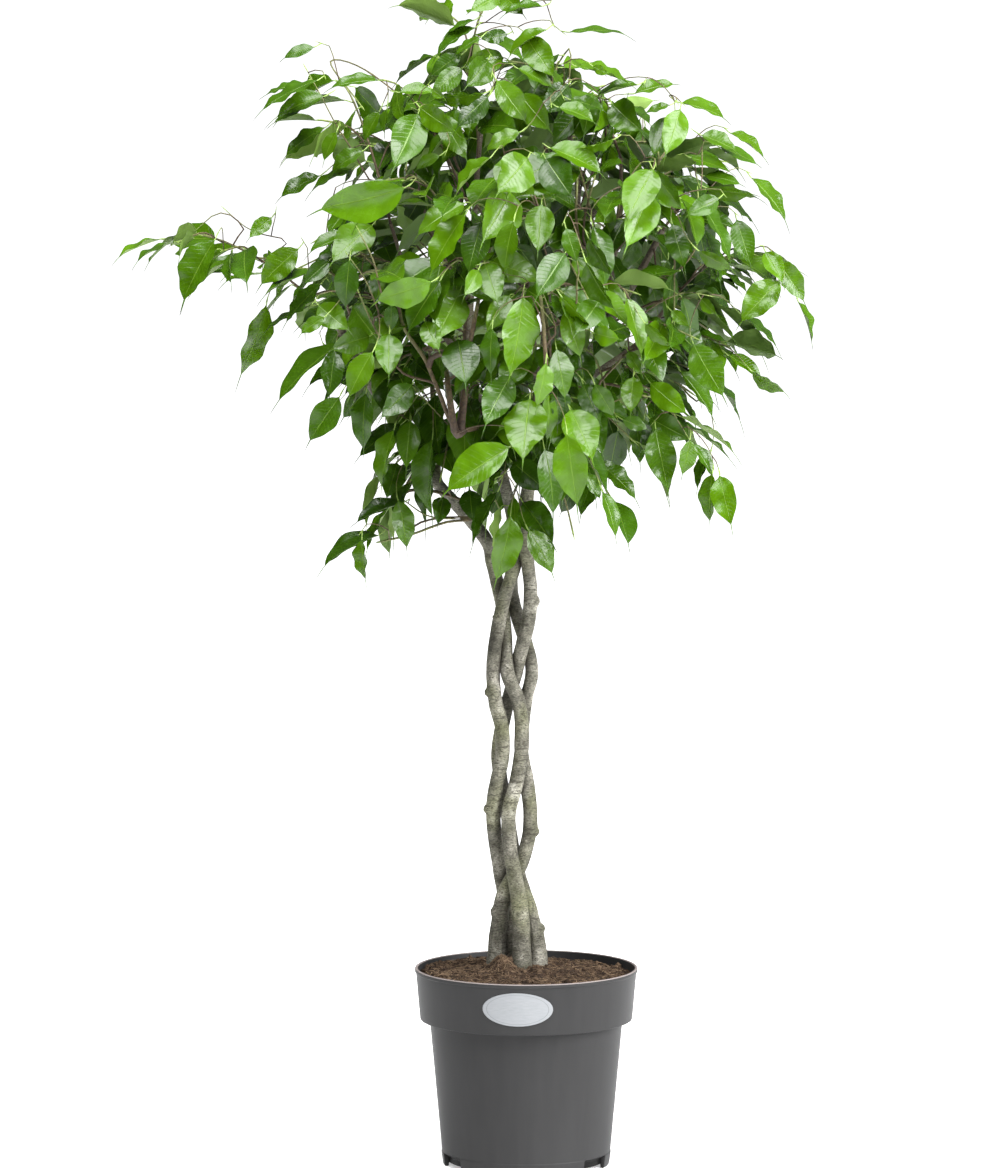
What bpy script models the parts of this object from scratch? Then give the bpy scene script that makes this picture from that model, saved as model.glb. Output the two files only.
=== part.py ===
"""Weeping fig with four plaited stems, potted in a nursery pot.

The model stands on Z = 0 with the pot's axis on Z, and its front faces -Y. Blender's unit is the metre;
the plant's own tables are in millimetres, which MM turns into metres when a mesh is made.
"""
import math

import bmesh
import bpy
import numpy as np
from mathutils import Vector
from mathutils.bvhtree import BVHTree

MM = 0.001
FIT_GAP = 0.3 * MM
SHARP_ANGLE = math.radians(40)

# Pot, metres
POT_STEPS = 32
RIM_TOP = 0.187
RIM_RADIUS = 0.105
LIP_HEIGHT = 0.004
LIP_PROUD = 0.001
COLLAR_BOTTOM = 0.138
COLLAR_BOTTOM_RADIUS = 0.100
COLLAR_ROUND = 0.0025
BODY_TOP_RADIUS = 0.091
FOOT_RADIUS = 0.0783
WALL = 0.0018
BASE_Z = 0.004
FLOOR_TOP = 0.006
HUB_RADIUS = 0.012
FEET = 3
FIRST_GAP = math.radians(-34)
GAP_ANGLE = math.radians(25)
FOOT_HEIGHT = 0.0125
FOOT_DEPTH = 0.0035
RING_RADIUS = FOOT_RADIUS - FOOT_DEPTH
GAP_STEPS = 4
CUTTER_DEPTH = 0.02
DRAIN_HOLES = 6
DRAIN_RADIUS = 0.004
DRAIN_CIRCLE = 0.056

# Label on the collar, metres
LABEL_WIDTH = 0.067
LABEL_HEIGHT = 0.0318
LABEL_THICKNESS = 0.0006
LABEL_Z = 0.163
LABEL_TURN = math.radians(-4.8)
LABEL_COLUMNS = 12

# Soil, metres
SOIL_EDGE_Z = 0.180
SOIL_CROWN_Z = 0.194
HOLE_BOTTOM = 0.128
STEM_FOOT = 0.1285
SOIL_RINGS = (0.078, 0.052, 0.026)
SOIL_FALL = 0.7
SOIL_ROUGH = 0.0011
SOIL_SEED = 7
SOIL_GAP = 1.6 * FIT_GAP
HOLE_SIDES = 8

# Stems, millimetres: each point is (across, depth, height), from the soil to the stem's tip
STEM_RADII = ((128, 7.8), (200, 7.6), (300, 6.4), (420, 6.1), (600, 5.8), (740, 4.6), (900, 2.8), (1060, 1.7))
PLAIT_TOP = 610
PLAIT_STEP = 26
CROWN_STEP = 58
KEY_STEP = 4.0
SMOOTHED_KEYS = 9
CURVE_POINTS = 12
STEM_GAP = 0.45
UPRIGHT = 16
PUSH_ROUNDS = 160
PUSH_SHARE = 0.35
PUSH_ENOUGH = 0.02
PUSH_MARKS = np.array([0.0, 0.25, 0.5, 0.75])
SECTION_SIDES = {"stem": 8, "limb": 4, "twig": 3}
STEMS = {
    "a": ((-15, 14, 198), (-15, 14, 222), (-18, 13, 245), (-22, 13, 264), (-25, 9, 279), (-27, 4, 298),
          (-31, 0, 317), (-31, -3, 345), (-27, -7, 367), (-20, -10, 402), (-23, -9, 416), (-28, -7, 435),
          (-31, -6, 449), (-31, -6, 473), (-28, -8, 497), (-24, -8, 525), (-19, -7, 545), (-10, -3, 566),
          (-9, 2, 590), (-11, 5, 615), (-22, 2, 650), (-36, -4, 695), (-53, -8, 741), (-54, -8, 798),
          (-50, -6, 860), (-48, -4, 920), (-42, -2, 975)),
    "b": ((-28, 3, 198), (-27, 2, 222), (-22, 0, 245), (-18, 1, 264), (-9, 3, 279), (0, 4, 290),
          (3, 3, 317), (4, 2, 341), (1, 4, 360), (-4, 8, 383), (-5, 9, 402), (-4, 9, 416), (-1, 8, 435),
          (1, 4, 449), (1, 4, 473), (-4, 9, 497), (-10, 12, 525), (-15, 13, 545), (-12, 16, 575),
          (-4, 20, 610), (6, 24, 660), (14, 28, 710), (17, 31, 741), (17, 34, 807), (30, 34, 850),
          (46, 31, 882), (50, 27, 919), (42, 19, 965), (30, 10, 1005)),
    "c": ((11, 2, 198), (9, 3, 222), (1, 4, 245), (-6, 9, 264), (-11, 14, 283), (-15, 15, 310),
          (-18, 13, 335), (-25, 11, 367), (-27, 9, 402), (-21, 10, 419), (-17, 10, 437), (-15, 9, 451),
          (-6, 4, 473), (-3, -3, 497), (4, -4, 525), (4, -5, 545), (1, -7, 575), (-1, -8, 592),
          (0, -9, 629), (8, -11, 676), (32, -20, 722), (68, -34, 788), (104, -46, 842), (128, -52, 886)),
    "d": ((-4, -11, 198), (-5, -12, 222), (-5, -13, 245), (-9, -13, 264), (-12, -13, 279), (-14, -12, 298),
          (-17, -11, 317), (-17, -11, 331), (-15, -10, 345), (-8, -9, 367), (-5, -8, 390), (-4, -7, 416),
          (-5, -7, 435), (-11, -7, 449), (-16, -4, 473), (-18, 2, 497), (-21, 6, 516), (-25, 6, 539),
          (-28, 4, 556), (-35, 2, 582), (-49, 0, 615), (-77, 4, 636), (-101, 8, 666), (-132, 12, 715),
          (-158, 10, 758), (-176, 6, 792)),
}

# Limbs, millimetres: the stem, the height at which the limb leaves it, and the limb's further points
LIMB_ROOT_RADIUS = 3.9
LIMB_ROOT_SHARE = 0.8
LIMB_TIP_RADIUS = 1.6
LIMB_STEP = 50
LIMBS = (
    ("a", 745, ((-82, -26, 795), (-110, -42, 842), (-126, -50, 892))),
    ("a", 700, ((-48, -46, 745), (-56, -84, 792), (-60, -104, 836))),
    ("a", 805, ((-76, 32, 850), (-98, 60, 898), (-106, 74, 935))),
    ("b", 705, ((8, 70, 760), (2, 102, 812), (0, 116, 858))),
    ("b", 855, ((62, 56, 892), (86, 72, 930))),
    ("b", 885, ((32, 62, 925), (14, 80, 962))),
    ("c", 690, ((20, -54, 732), (30, -92, 778), (34, -112, 826))),
    ("c", 724, ((74, 2, 755), (112, 18, 782), (134, 24, 812))),
    ("c", 792, ((80, -22, 850), (88, -14, 905), (88, -6, 950))),
    ("d", 645, ((-86, 54, 695), (-90, 92, 745), (-92, 108, 792))),
    ("d", 717, ((-148, -26, 756), (-160, -42, 792))),
)

# Knobs where side shoots were cut off, millimetres: the stem, the height and the direction in degrees
KNOB_RADIUS = 3.6
KNOB_SINK = 0.28
KNOBS = (("a", 449, 190), ("a", 338, 175), ("b", 316, 350), ("b", 240, 200), ("c", 224, 345),
         ("c", 534, 350), ("d", 300, 260), ("a", 520, 235))

# Sprays, millimetres: where the tip of each drooping twig ends, and how twigs leave the wood
HEART = (5, 5, 800)
WISH_SHARE = 0.5
WISH_DROP = 15
SPRAY_TIPS = (
    (-334, -18, 876), (-194, -32, 814), (-208, -68, 852), (-142, 10, 794), (-124, -48, 760),
    (-90, -52, 726), (-120, 0, 626), (-90, -26, 668), (-174, 0, 1020), (-140, 42, 960),
    (-130, -38, 1024), (-80, 18, 1040), (-28, -4, 1102), (20, 18, 1022), (62, -14, 1000),
    (92, 28, 980), (120, -18, 962), (148, 18, 956), (166, -28, 918), (196, 14, 856),
    (170, -32, 814), (146, 18, 780), (116, -26, 748), (134, -14, 708), (28, 10, 724),
    (42, -100, 730), (22, -48, 682), (-16, -68, 694), (-28, -100, 724), (-48, 10, 678),
    (-12, -194, 838), (-20, -164, 960), (90, -148, 934), (-112, -126, 938), (-78, -166, 862),
    (54, -172, 834), (-126, -102, 810), (4, -154, 782), (100, -106, 794), (38, -114, 964),
    (0, 196, 852), (-108, 156, 878), (110, 154, 872), (-66, 132, 972), (62, 132, 954),
    (-78, 148, 758), (66, 148, 754), (-138, 106, 820),
)
WOOD_STEP = 9
BASE_SPACING = 17
TWIG_ROOT_RADIUS = 1.7
TWIG_TIP_RADIUS = 0.9
TWIG_SEGMENTS = 4
TWIG_KNEES = ((0.38, 0.20), (0.84, 0.17))
TWIG_TRIES = 24
TWIG_SWING = 0.03
TWIG_SEED = 5037
ROOT_REACH = (6, 9, 13)
TRIM_STEP = 0.1
TRIM_REACH = 40
SIDE_SEGMENTS = 2
SIDE_SHARE = 0.5
SIDE_LENGTHS = (48, 88)
SIDE_WAY = {"forward": 0.75, "across": 0.75, "up": 0.25}
SIDE_REACH = 0.95
SIDE_DROOP = 0.34
SIDE_SEED = 1053

# Leaves, millimetres and shares of the blade's length
LEAF_LENGTHS = (46, 76)
LEAF_WIDTH_SHARE = 0.235
PETIOLE = 9
PETIOLE_WIDTH = 1.2
ROOT_SHARE = 0.4
BLADE_STATIONS = ((0.0, 0.035), (0.29, 0.92), (0.60, 0.86), (0.84, 0.27))
BLADE_THICKNESS = 0.7
BLADE_FOLD = 0.11
BLADE_ARCH = 0.16
STALK_WAY = {"forward": 0.60, "across": 0.80, "out": 0.25, "spread": 0.10}
BLADE_WAY = {"forward": 0.60, "across": 0.60, "out": 0.22, "spread": 0.12}
TWIG_FALL = 0.4
BLADE_DROOPS = (0.05, 0.62)
FACE_WAY = {"out": 0.85, "up": 0.55, "spread": 0.20}
UPRIGHT_FACES = 50
END_LEAF_TURN = 0.15
MAIN_LEAVES = (0.40, 0.62, 0.82, 1.0)
SIDE_LEAVES = (0.55, 1.0)
SHORT_TWIG = 112
LEAF_TRIES = 14
LEAF_SWING = 0.04
LEAF_SEEDS = 100
CLEARANCE = 0.5


def unit(vector):
    """The vector at length 1."""
    return vector / np.linalg.norm(vector)


def lerp(low, high, share):
    """The value that lies `share` of the way from low to high."""
    return low + (high - low) * share


def smooth_path(points, step):
    """A Catmull-Rom curve through the points, read at even steps of about `step` along it."""
    points = np.asarray(points, float)
    ends = np.vstack([2 * points[0] - points[1], points, 2 * points[-1] - points[-2]])
    t = np.linspace(0, 1, CURVE_POINTS, endpoint=False)[:, None]
    runs = [0.5 * (2 * b + (c - a) * t + (2 * a - 5 * b + 4 * c - d) * t ** 2
                   + (3 * b - a - 3 * c + d) * t ** 3)
            for a, b, c, d in zip(ends, ends[1:], ends[2:], ends[3:])]
    curve = np.vstack(runs + [points[-1:]])
    along = lengths_along(curve)
    count = max(2, round(along[-1] / step) + 1)
    marks = np.linspace(0, along[-1], count)
    return np.column_stack([np.interp(marks, along, curve[:, axis]) for axis in range(3)])


def stem_radius(height):
    """A stem's radius, which falls with height."""
    heights, radii = zip(*STEM_RADII)
    return np.interp(height, heights, radii)


def plait():
    """The four stems' centre lines: read at common heights, then pushed apart until none overlap.

    Every stem goes straight down from the soil's surface, so that it stands in a plain hole.
    """
    plait_levels = np.arange(STEM_FOOT / MM, PLAIT_TOP, PLAIT_STEP)
    lines = []
    for keys in STEMS.values():
        keys = np.array(keys, float)
        above = np.arange(plait_levels[-1] + CROWN_STEP, keys[-1, 2], CROWN_STEP)
        levels = np.concatenate([plait_levels, above, keys[-1:, 2]])
        fine = np.arange(levels[0], levels[-1] + 1, KEY_STEP)
        window = np.hanning(SMOOTHED_KEYS) / np.hanning(SMOOTHED_KEYS).sum()
        across = [np.convolve(np.pad(np.interp(fine, keys[:, 2], keys[:, axis]), SMOOTHED_KEYS // 2,
                                     mode="edge"), window, mode="valid") for axis in range(2)]
        lines.append(np.column_stack([np.interp(levels, fine, across[0]), np.interp(levels, fine, across[1]),
                                      levels]))
    for _ in range(PUSH_ROUNDS):
        if not push_apart(lines):
            break
    return dict(zip(STEMS, lines))


def push_apart(lines):
    """One round of moving the stems' points sideways where two stems are nearer than their radii."""
    mark = PUSH_MARKS[None, :, None]
    finer = [(line[:-1, None] * (1 - mark) + line[1:, None] * mark).reshape(-1, 3) for line in lines]
    moved = False
    shifts = [np.zeros((len(line), 3)) for line in lines]
    for i in range(len(lines)):
        for j in range(len(lines)):
            if i == j:
                continue
            apart = finer[i][:, None, :] - finer[j][None, :, :]
            distance = np.linalg.norm(apart, axis=2)
            nearest = distance.argmin(axis=1)
            rows = np.arange(len(nearest))
            need = stem_radius(finer[i][:, 2]) + stem_radius(finer[j][nearest, 2]) + STEM_GAP
            short = np.clip(need - distance[rows, nearest], 0, None)
            away = apart[rows, nearest]
            away[:, 2] = 0
            away /= np.linalg.norm(away, axis=1)[:, None] + 1e-9
            push = away * (short * PUSH_SHARE)[:, None]
            moved |= bool(short.max() > PUSH_ENOUGH)
            for k, share in enumerate(PUSH_MARKS):
                part = push[k::len(PUSH_MARKS)]
                shifts[i][:-1] += part * (1 - share) * 0.5
                shifts[i][1:] += part * share * 0.5
    for line, shift in zip(lines, shifts):
        line[:, :2] += shift[:, :2]
        line[line[:, 2] < SOIL_CROWN_Z / MM + UPRIGHT, :2] = line[3, :2]
    return moved


def limb_lines(stems):
    """Each limb's centre line and radii, from inside its stem outwards."""
    limbs = []
    for stem, height, further in LIMBS:
        line = stems[stem]
        start = [np.interp(height, line[:, 2], line[:, axis]) for axis in range(2)] + [height]
        path = smooth_path([start, *further], LIMB_STEP)
        root = min(LIMB_ROOT_RADIUS, stem_radius(height) * LIMB_ROOT_SHARE)
        limbs.append((stem, path, np.linspace(root, LIMB_TIP_RADIUS, len(path))))
    return limbs


def spray_bases(stems, limbs):
    """Where each spray leaves the wood, and which stem it grows from.

    Every end of the wood carries the spray that wishes for a place nearest to it. Each other spray takes
    the free place nearest to its wish, which is halfway from its tip to the crown's heart.
    """
    lines = [(name, line[line[:, 2] > PLAIT_TOP - 10]) for name, line in stems.items()]
    lines += [(name, path) for name, path, _ in limbs]
    wood = [(point, name) for name, line in lines for point in smooth_path(line, WOOD_STEP)[2:]]
    places = np.array([point for point, _ in wood])
    tips = np.array(SPRAY_TIPS, float)
    wishes = lerp(tips, np.array(HEART, float), WISH_SHARE) - (0, 0, WISH_DROP)
    bases = {}
    for name, line in lines:
        open_sprays = [k for k in range(len(tips)) if k not in bases]
        distance = np.linalg.norm(wishes[open_sprays] - line[-1], axis=1)
        bases[open_sprays[int(distance.argmin())]] = (line[-1], name)
    free = np.ones(len(places), bool)
    for base, _ in bases.values():
        free &= np.linalg.norm(places - base, axis=1) > BASE_SPACING
    for k, wish in enumerate(wishes):
        if k in bases:
            continue
        chosen = int((np.linalg.norm(places - wish, axis=1) + 1000.0 * ~free).argmin())
        free &= np.linalg.norm(places - places[chosen], axis=1) > BASE_SPACING
        bases[k] = (places[chosen], wood[chosen][1])
    return [bases[k] for k in range(len(tips))]


def bezier(p0, p1, p2, p3, count):
    """Points at even parameters of a cubic Bezier curve."""
    t = np.linspace(0, 1, count)[:, None]
    return (1 - t) ** 3 * p0 + 3 * (1 - t) ** 2 * t * p1 + 3 * (1 - t) * t ** 2 * p2 + t ** 3 * p3


def lengths_along(path):
    """How far along the path each of its points lies."""
    return np.concatenate([[0], np.cumsum(np.linalg.norm(np.diff(path, axis=0), axis=1))])


def at(path, share):
    """The point and the direction of a path at a share of its length."""
    along = lengths_along(path)
    mark = share * along[-1]
    point = np.array([np.interp(mark, along, path[:, axis]) for axis in range(3)])
    row = min(int(np.searchsorted(along, mark, side="right")) - 1, len(path) - 2)
    return point, unit(path[row + 1] - path[row])


def twig_path(base, tip, rng, swing):
    """A twig that rises out of the wood, arches over and droops to its tip."""
    reach = np.linalg.norm(tip - base)
    bends = rng.normal(0, 1, (2, 3)) * swing * reach
    knees = [lerp(base, tip, share) + (0, 0, rise * reach) + bend
             for (share, rise), bend in zip(TWIG_KNEES, bends)]
    return bezier(base, *knees, tip, TWIG_SEGMENTS + 1)


def side_twig_path(main, share, side, rng, swing):
    """A shorter twig that leaves a main twig to one side and droops."""
    start, forward = at(main, share)
    across = unit(np.cross(forward, (0, 0, 1))) * side
    length = rng.uniform(*SIDE_LENGTHS)
    heading = unit(SIDE_WAY["forward"] * forward + SIDE_WAY["across"] * across + (0, 0, SIDE_WAY["up"])
                   + rng.normal(0, 1, 3) * swing)
    middle = start + heading * length * 0.5
    end = start + heading * length * SIDE_REACH - (0, 0, SIDE_DROOP * length)
    return bezier(start, lerp(start, middle, 0.7), middle, end, SIDE_SEGMENTS + 1)


def tube(path, radii, sides):
    """Vertices and triangles of a closed tube along a path, for testing what it would cross."""
    forward = np.gradient(path, axis=0)
    forward /= np.linalg.norm(forward, axis=1)[:, None]
    helper = np.array([0.36, 0.48, 0.8]) if abs(forward[0, 2]) < 0.9 else np.array([1.0, 0, 0])
    across = np.cross(forward, helper)
    across /= np.linalg.norm(across, axis=1)[:, None]
    lift = np.cross(forward, across)
    angle = np.arange(sides) * 2 * math.pi / sides
    ring = across[:, None] * np.cos(angle)[None, :, None] + lift[:, None] * np.sin(angle)[None, :, None]
    vertices = (path[:, None] + ring * np.asarray(radii)[:, None, None]).reshape(-1, 3)
    return vertices, loft_triangles(len(path), sides)


def loft_triangles(rings, sides):
    """Triangles of a closed loft: its wall, then a fan over each end ring."""
    ring = np.arange(rings - 1)[:, None] * sides
    here = np.arange(sides)
    there = (here + 1) % sides
    a, b, c, d = ring + here, ring + there, ring + sides + there, ring + sides + here
    wall = np.stack([a, b, c, a, c, d], axis=-1).reshape(-1, 3)
    last = (rings - 1) * sides
    caps = [(0, k + 1, k) for k in range(1, sides - 1)]
    caps += [(last, last + k, last + k + 1) for k in range(1, sides - 1)]
    return np.vstack([wall, caps])


def leaf_frame(root, forward, side, rng, swing):
    """A hanging leaf's petiole direction, blade direction and upward normal.

    The blade points along its twig, to its own side and down, and follows only a share of the twig's fall.
    Its top faces out of the crown and up, and only up near the crown's axis.
    """
    flat = np.array([root[0], root[1], 0.0])
    out = flat / (np.linalg.norm(flat) + UPRIGHT_FACES)
    across = np.cross(forward, (0, 0, 1)) * side
    level = forward * (1, 1, TWIG_FALL)
    down = rng.uniform(*BLADE_DROOPS)

    def mix(way):
        return (way["forward"] * level + way["across"] * across + way["out"] * out
                + rng.normal(0, 1, 3) * way["spread"])

    stalk = unit(mix(STALK_WAY))
    blade = unit(mix(BLADE_WAY) + (0, 0, -down) + rng.normal(0, 1, 3) * swing)
    face = unit(FACE_WAY["out"] * out + (0, 0, FACE_WAY["up"]))
    face = face + rng.normal(0, 1, 3) * (FACE_WAY["spread"] + swing)
    normal = unit(face - face.dot(blade) * blade)
    return stalk, blade, normal


def leaf(root, frame, length, grow=0.0):
    """Vertices and triangles of one closed leaf: a three-sided petiole, a folded arched blade, a tip.

    Each section has the two true margins and the midrib's underside. A positive grow fattens the leaf,
    for testing what it would cross.
    """
    stalk, blade, normal = frame
    foot = root + stalk * PETIOLE
    sections = []
    across = unit(np.cross(stalk, normal))
    above = np.cross(across, stalk)
    half = PETIOLE_WIDTH / 2 * ROOT_SHARE + grow
    sections.append((root - across * half + above * half, root + across * half + above * half,
                     root - above * half))
    across = np.cross(blade, normal)
    for share, width in BLADE_STATIONS:
        middle = foot + blade * length * share - normal * (length * BLADE_ARCH * share ** 2 + grow)
        half = max(width * LEAF_WIDTH_SHARE * length, PETIOLE_WIDTH / 2) + grow
        lift = normal * (half * BLADE_FOLD * 2 + BLADE_THICKNESS * 0.5 + 2 * grow)
        sections.append((middle - across * half + lift, middle + across * half + lift,
                         middle - normal * BLADE_THICKNESS * 0.5))
    tip = foot + blade * (length + grow) - normal * length * BLADE_ARCH
    vertices = np.array([point for section in sections for point in section] + [tip])
    wall = loft_triangles(len(sections), 3)[:-1]
    last = 3 * (len(sections) - 1)
    point = [(last + k, last + (k + 1) % 3, last + 3) for k in range(3)]
    return vertices, np.vstack([wall, point])


class Crown:
    """What already stands in the crown, so that the next twig or leaf can be laid clear of it."""

    def __init__(self):
        self.groups = []

    def add(self, shapes):
        """Add one group of shapes as a search tree with its box."""
        tree, corners = search_tree(shapes)
        self.groups.append((tree, corners.min(axis=0), corners.max(axis=0)))

    def crosses(self, shape):
        """Whether the shape cuts anything in the crown."""
        low, high = shape[0].min(axis=0), shape[0].max(axis=0)
        near = [tree for tree, box_low, box_high in self.groups
                if (low <= box_high).all() and (high >= box_low).all()]
        if not near:
            return False
        own = search_tree([shape])[0]
        return any(own.overlap(tree) for tree in near)


def search_tree(shapes):
    """A search tree over the triangles of several shapes, and their vertices."""
    starts = np.cumsum([0] + [len(vertices) for vertices, _ in shapes])
    vertices = np.vstack([vertices for vertices, _ in shapes])
    triangles = np.vstack([faces + start for (_, faces), start in zip(shapes, starts)])
    return BVHTree.FromPolygons(vertices.tolist(), triangles.tolist(), all_triangles=True), vertices


def beyond(path, radii, distance):
    """The stretch of a path, with its radii, that lies further than a distance from its start."""
    along = lengths_along(path)
    later = along > distance
    point, _ = at(path, distance / along[-1])
    return (np.vstack([point, path[later]]),
            np.concatenate([[np.interp(distance, along, radii)], radii[later]]))


def lay_twig(make, root_radius, crown):
    """The first of a few twigs that is clear of the crown, but for the wood that it roots in."""
    for attempt in range(TWIG_TRIES):
        path = make(TWIG_SWING * attempt)
        radii = np.linspace(root_radius, TWIG_TIP_RADIUS, len(path))
        for start in ROOT_REACH:
            clear_path, clear_radii = beyond(path, radii, start)
            if not crown.crosses(tube(clear_path, clear_radii + CLEARANCE, 6)):
                return path, radii
    return None


def grow_spray(index, base, tip, crown):
    """One spray: its twigs as (path, radii), and its leaves as (root, frame, length)."""
    side_rng = np.random.default_rng(SIDE_SEED + index)
    main_rng = np.random.default_rng(TWIG_SEED + index)
    main = lay_twig(lambda swing: twig_path(base, tip, main_rng, swing), TWIG_ROOT_RADIUS, crown)
    if main is None:
        return [], []
    side = 1 if index % 2 else -1
    branch = lay_twig(lambda swing: side_twig_path(main[0], SIDE_SHARE, side, side_rng, swing),
                      TWIG_TIP_RADIUS, crown)
    twigs = [twig for twig in (main, branch) if twig is not None]
    short = int(lengths_along(main[0])[-1] < SHORT_TWIG)
    buds = [(path, share, (-1) ** k * side)
            for (path, _), shares in zip(twigs, (MAIN_LEAVES[short:], SIDE_LEAVES))
            for k, share in enumerate(shares)]
    leaves = []
    own = Crown()
    own.add([tube(path, radii, 4) for path, radii in twigs])
    for bud, (path, share, turn) in enumerate(buds):
        placed = lay_leaf(path, share, turn, LEAF_SEEDS * index + bud, crown, own)
        if placed is not None:
            leaves.append(placed)
            own.add([leaf(*placed)])
    return twigs, leaves


def lay_leaf(path, share, side, seed, crown, own):
    """The first of a few leaves at a bud that crosses neither the crown nor its own spray."""
    root, forward = at(path, share)
    rng = np.random.default_rng(seed)
    length = rng.uniform(*LEAF_LENGTHS)
    if share >= 1.0:
        root = root - forward * PETIOLE_WIDTH
        side = side * END_LEAF_TURN
    for attempt in range(LEAF_TRIES):
        frame = leaf_frame(root, forward, side, rng, TWIG_SWING + LEAF_SWING * attempt)
        fat = leaf(root, frame, length, CLEARANCE)
        blade = (fat[0][3:], loft_triangles(len(BLADE_STATIONS), 3))
        if not crown.crosses(fat) and not own.crosses(blade):
            return root, frame, length
    return None


def plain_material(name, colour, roughness):
    """A Principled material of one colour, roughness and no metal."""
    material = bpy.data.materials.new(name)
    material.use_nodes = True
    shader = material.node_tree.nodes["Principled BSDF"]
    shader.inputs["Base Color"].default_value = (*colour, 1)
    shader.inputs["Roughness"].default_value = roughness
    shader.inputs["Metallic"].default_value = 0.0
    return material


def new_object(name, mesh, collection, material=None):
    """Link an object for a mesh, with its material."""
    thing = bpy.data.objects.new(name, mesh)
    collection.objects.link(thing)
    if material:
        mesh.materials.clear()
        mesh.materials.append(material)
    return thing


def evaluated_mesh(thing):
    """A copy of the object's mesh with its modifiers applied."""
    graph = bpy.context.evaluated_depsgraph_get()
    return bpy.data.meshes.new_from_object(thing.evaluated_get(graph))


def shade_round(mesh):
    """Shade a mesh smooth, but for its sharp edges."""
    mesh.shade_smooth()
    mesh.set_sharp_from_angle(angle=SHARP_ANGLE)


def shape_of(mesh):
    """A mesh's vertices in millimetres and its triangles."""
    mesh.calc_loop_triangles()
    vertices = np.array([vertex.co for vertex in mesh.vertices]) / MM
    return vertices, np.array([triangle.vertices for triangle in mesh.loop_triangles])


def mesh_from_shape(name, shape):
    """A mesh in metres from vertices in millimetres and triangles."""
    vertices, triangles = shape
    mesh = bpy.data.meshes.new(name)
    mesh.from_pydata((vertices * MM).tolist(), [], triangles.tolist())
    return mesh


def round_profile(sides, collection):
    """A small closed polygon of radius 1 mm, the section that a curve carries along its path."""
    outline = bpy.data.curves.new(f"round_{sides}", "CURVE")
    outline.dimensions = "2D"
    spline = outline.splines.new("POLY")
    spline.points.add(sides - 1)
    spline.use_cyclic_u = True
    for k, point in enumerate(spline.points):
        angle = 2 * math.pi * k / sides
        point.co = (math.cos(angle) * MM, math.sin(angle) * MM, 0, 1)
    return new_object(f"round_{sides}", outline, collection)


def curve_tube(name, path, radii, section, collection):
    """A tapered tube: a curve with a section, along a path in millimetres, made a mesh with welded caps."""
    curve = bpy.data.curves.new(name, "CURVE")
    curve.dimensions = "3D"
    curve.bevel_mode = "OBJECT"
    curve.bevel_object = section
    curve.use_fill_caps = True
    spline = curve.splines.new("POLY")
    spline.points.add(len(path) - 1)
    for point, place, radius in zip(spline.points, path * MM, radii):
        point.co = (*place, 1)
        point.radius = radius
    wire = new_object(name, curve, collection)
    mesh = evaluated_mesh(wire)
    bpy.data.objects.remove(wire)
    bpy.data.curves.remove(curve)
    body = bmesh.new()
    body.from_mesh(mesh)
    bmesh.ops.remove_doubles(body, verts=body.verts, dist=0.02 * MM)
    bmesh.ops.recalc_face_normals(body, faces=body.faces)
    body.to_mesh(mesh)
    body.free()
    return new_object(name, mesh, collection)


def combine(name, body, others, collection, material, operation="UNION", solver="MANIFOLD"):
    """Apply one Boolean of a body with a collection, and remove the body and what was in the collection."""
    boolean = body.modifiers.new("Combine", "BOOLEAN")
    boolean.operation = operation
    boolean.operand_type = "COLLECTION"
    boolean.collection = others
    boolean.solver = solver
    mesh = evaluated_mesh(body)
    for thing in [body, *others.objects]:
        bpy.data.objects.remove(thing)
    bpy.data.collections.remove(others)
    mesh.name = name
    return new_object(name, mesh, collection, material)


def guides(name):
    """A new collection for guide solids, which are gone again once they are combined."""
    collection = bpy.data.collections.new(name)
    bpy.context.scene.collection.children.link(collection)
    return collection


def wall_radius(height):
    """The outer wall's radius at a height, from the feet to the collar."""
    return lerp(FOOT_RADIUS, BODY_TOP_RADIUS, height / COLLAR_BOTTOM)


def pot_profile():
    """The pot's half section: underside, feet, outer wall, rim, inner wall and floor."""
    return (
        (0, 0), (HUB_RADIUS, 0), (HUB_RADIUS, BASE_Z), (RING_RADIUS, BASE_Z), (RING_RADIUS, 0),
        (FOOT_RADIUS, 0), (BODY_TOP_RADIUS, COLLAR_BOTTOM),
        (COLLAR_BOTTOM_RADIUS - COLLAR_ROUND, COLLAR_BOTTOM),
        (COLLAR_BOTTOM_RADIUS, COLLAR_BOTTOM + COLLAR_ROUND),
        (RIM_RADIUS - LIP_PROUD, RIM_TOP - LIP_HEIGHT), (RIM_RADIUS, RIM_TOP - LIP_HEIGHT),
        (RIM_RADIUS, RIM_TOP), (RIM_RADIUS - LIP_PROUD - WALL, RIM_TOP),
        (COLLAR_BOTTOM_RADIUS - WALL, COLLAR_BOTTOM + WALL),
        (BODY_TOP_RADIUS - WALL, COLLAR_BOTTOM + WALL),
        (wall_radius(FOOT_HEIGHT + WALL) - WALL, FOOT_HEIGHT + WALL),
        (RING_RADIUS - WALL, FOOT_HEIGHT + WALL), (RING_RADIUS - WALL, FLOOR_TOP), (0, FLOOR_TOP),
    )


def turned(name, profile, collection, material):
    """A profile of (radius, height) turned round Z by a Screw modifier, in flat or round steps."""
    mesh = bpy.data.meshes.new(name)
    mesh.from_pydata([(radius, 0, height) for radius, height in reversed(profile)],
                     [(k, k + 1) for k in range(len(profile) - 1)], [])
    body = new_object(name, mesh, collection, material)
    screw = body.modifiers.new("Turn", "SCREW")
    screw.steps = screw.render_steps = POT_STEPS
    screw.use_merge_vertices = True
    screw.merge_threshold = 0.05 * MM
    return body


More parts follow.
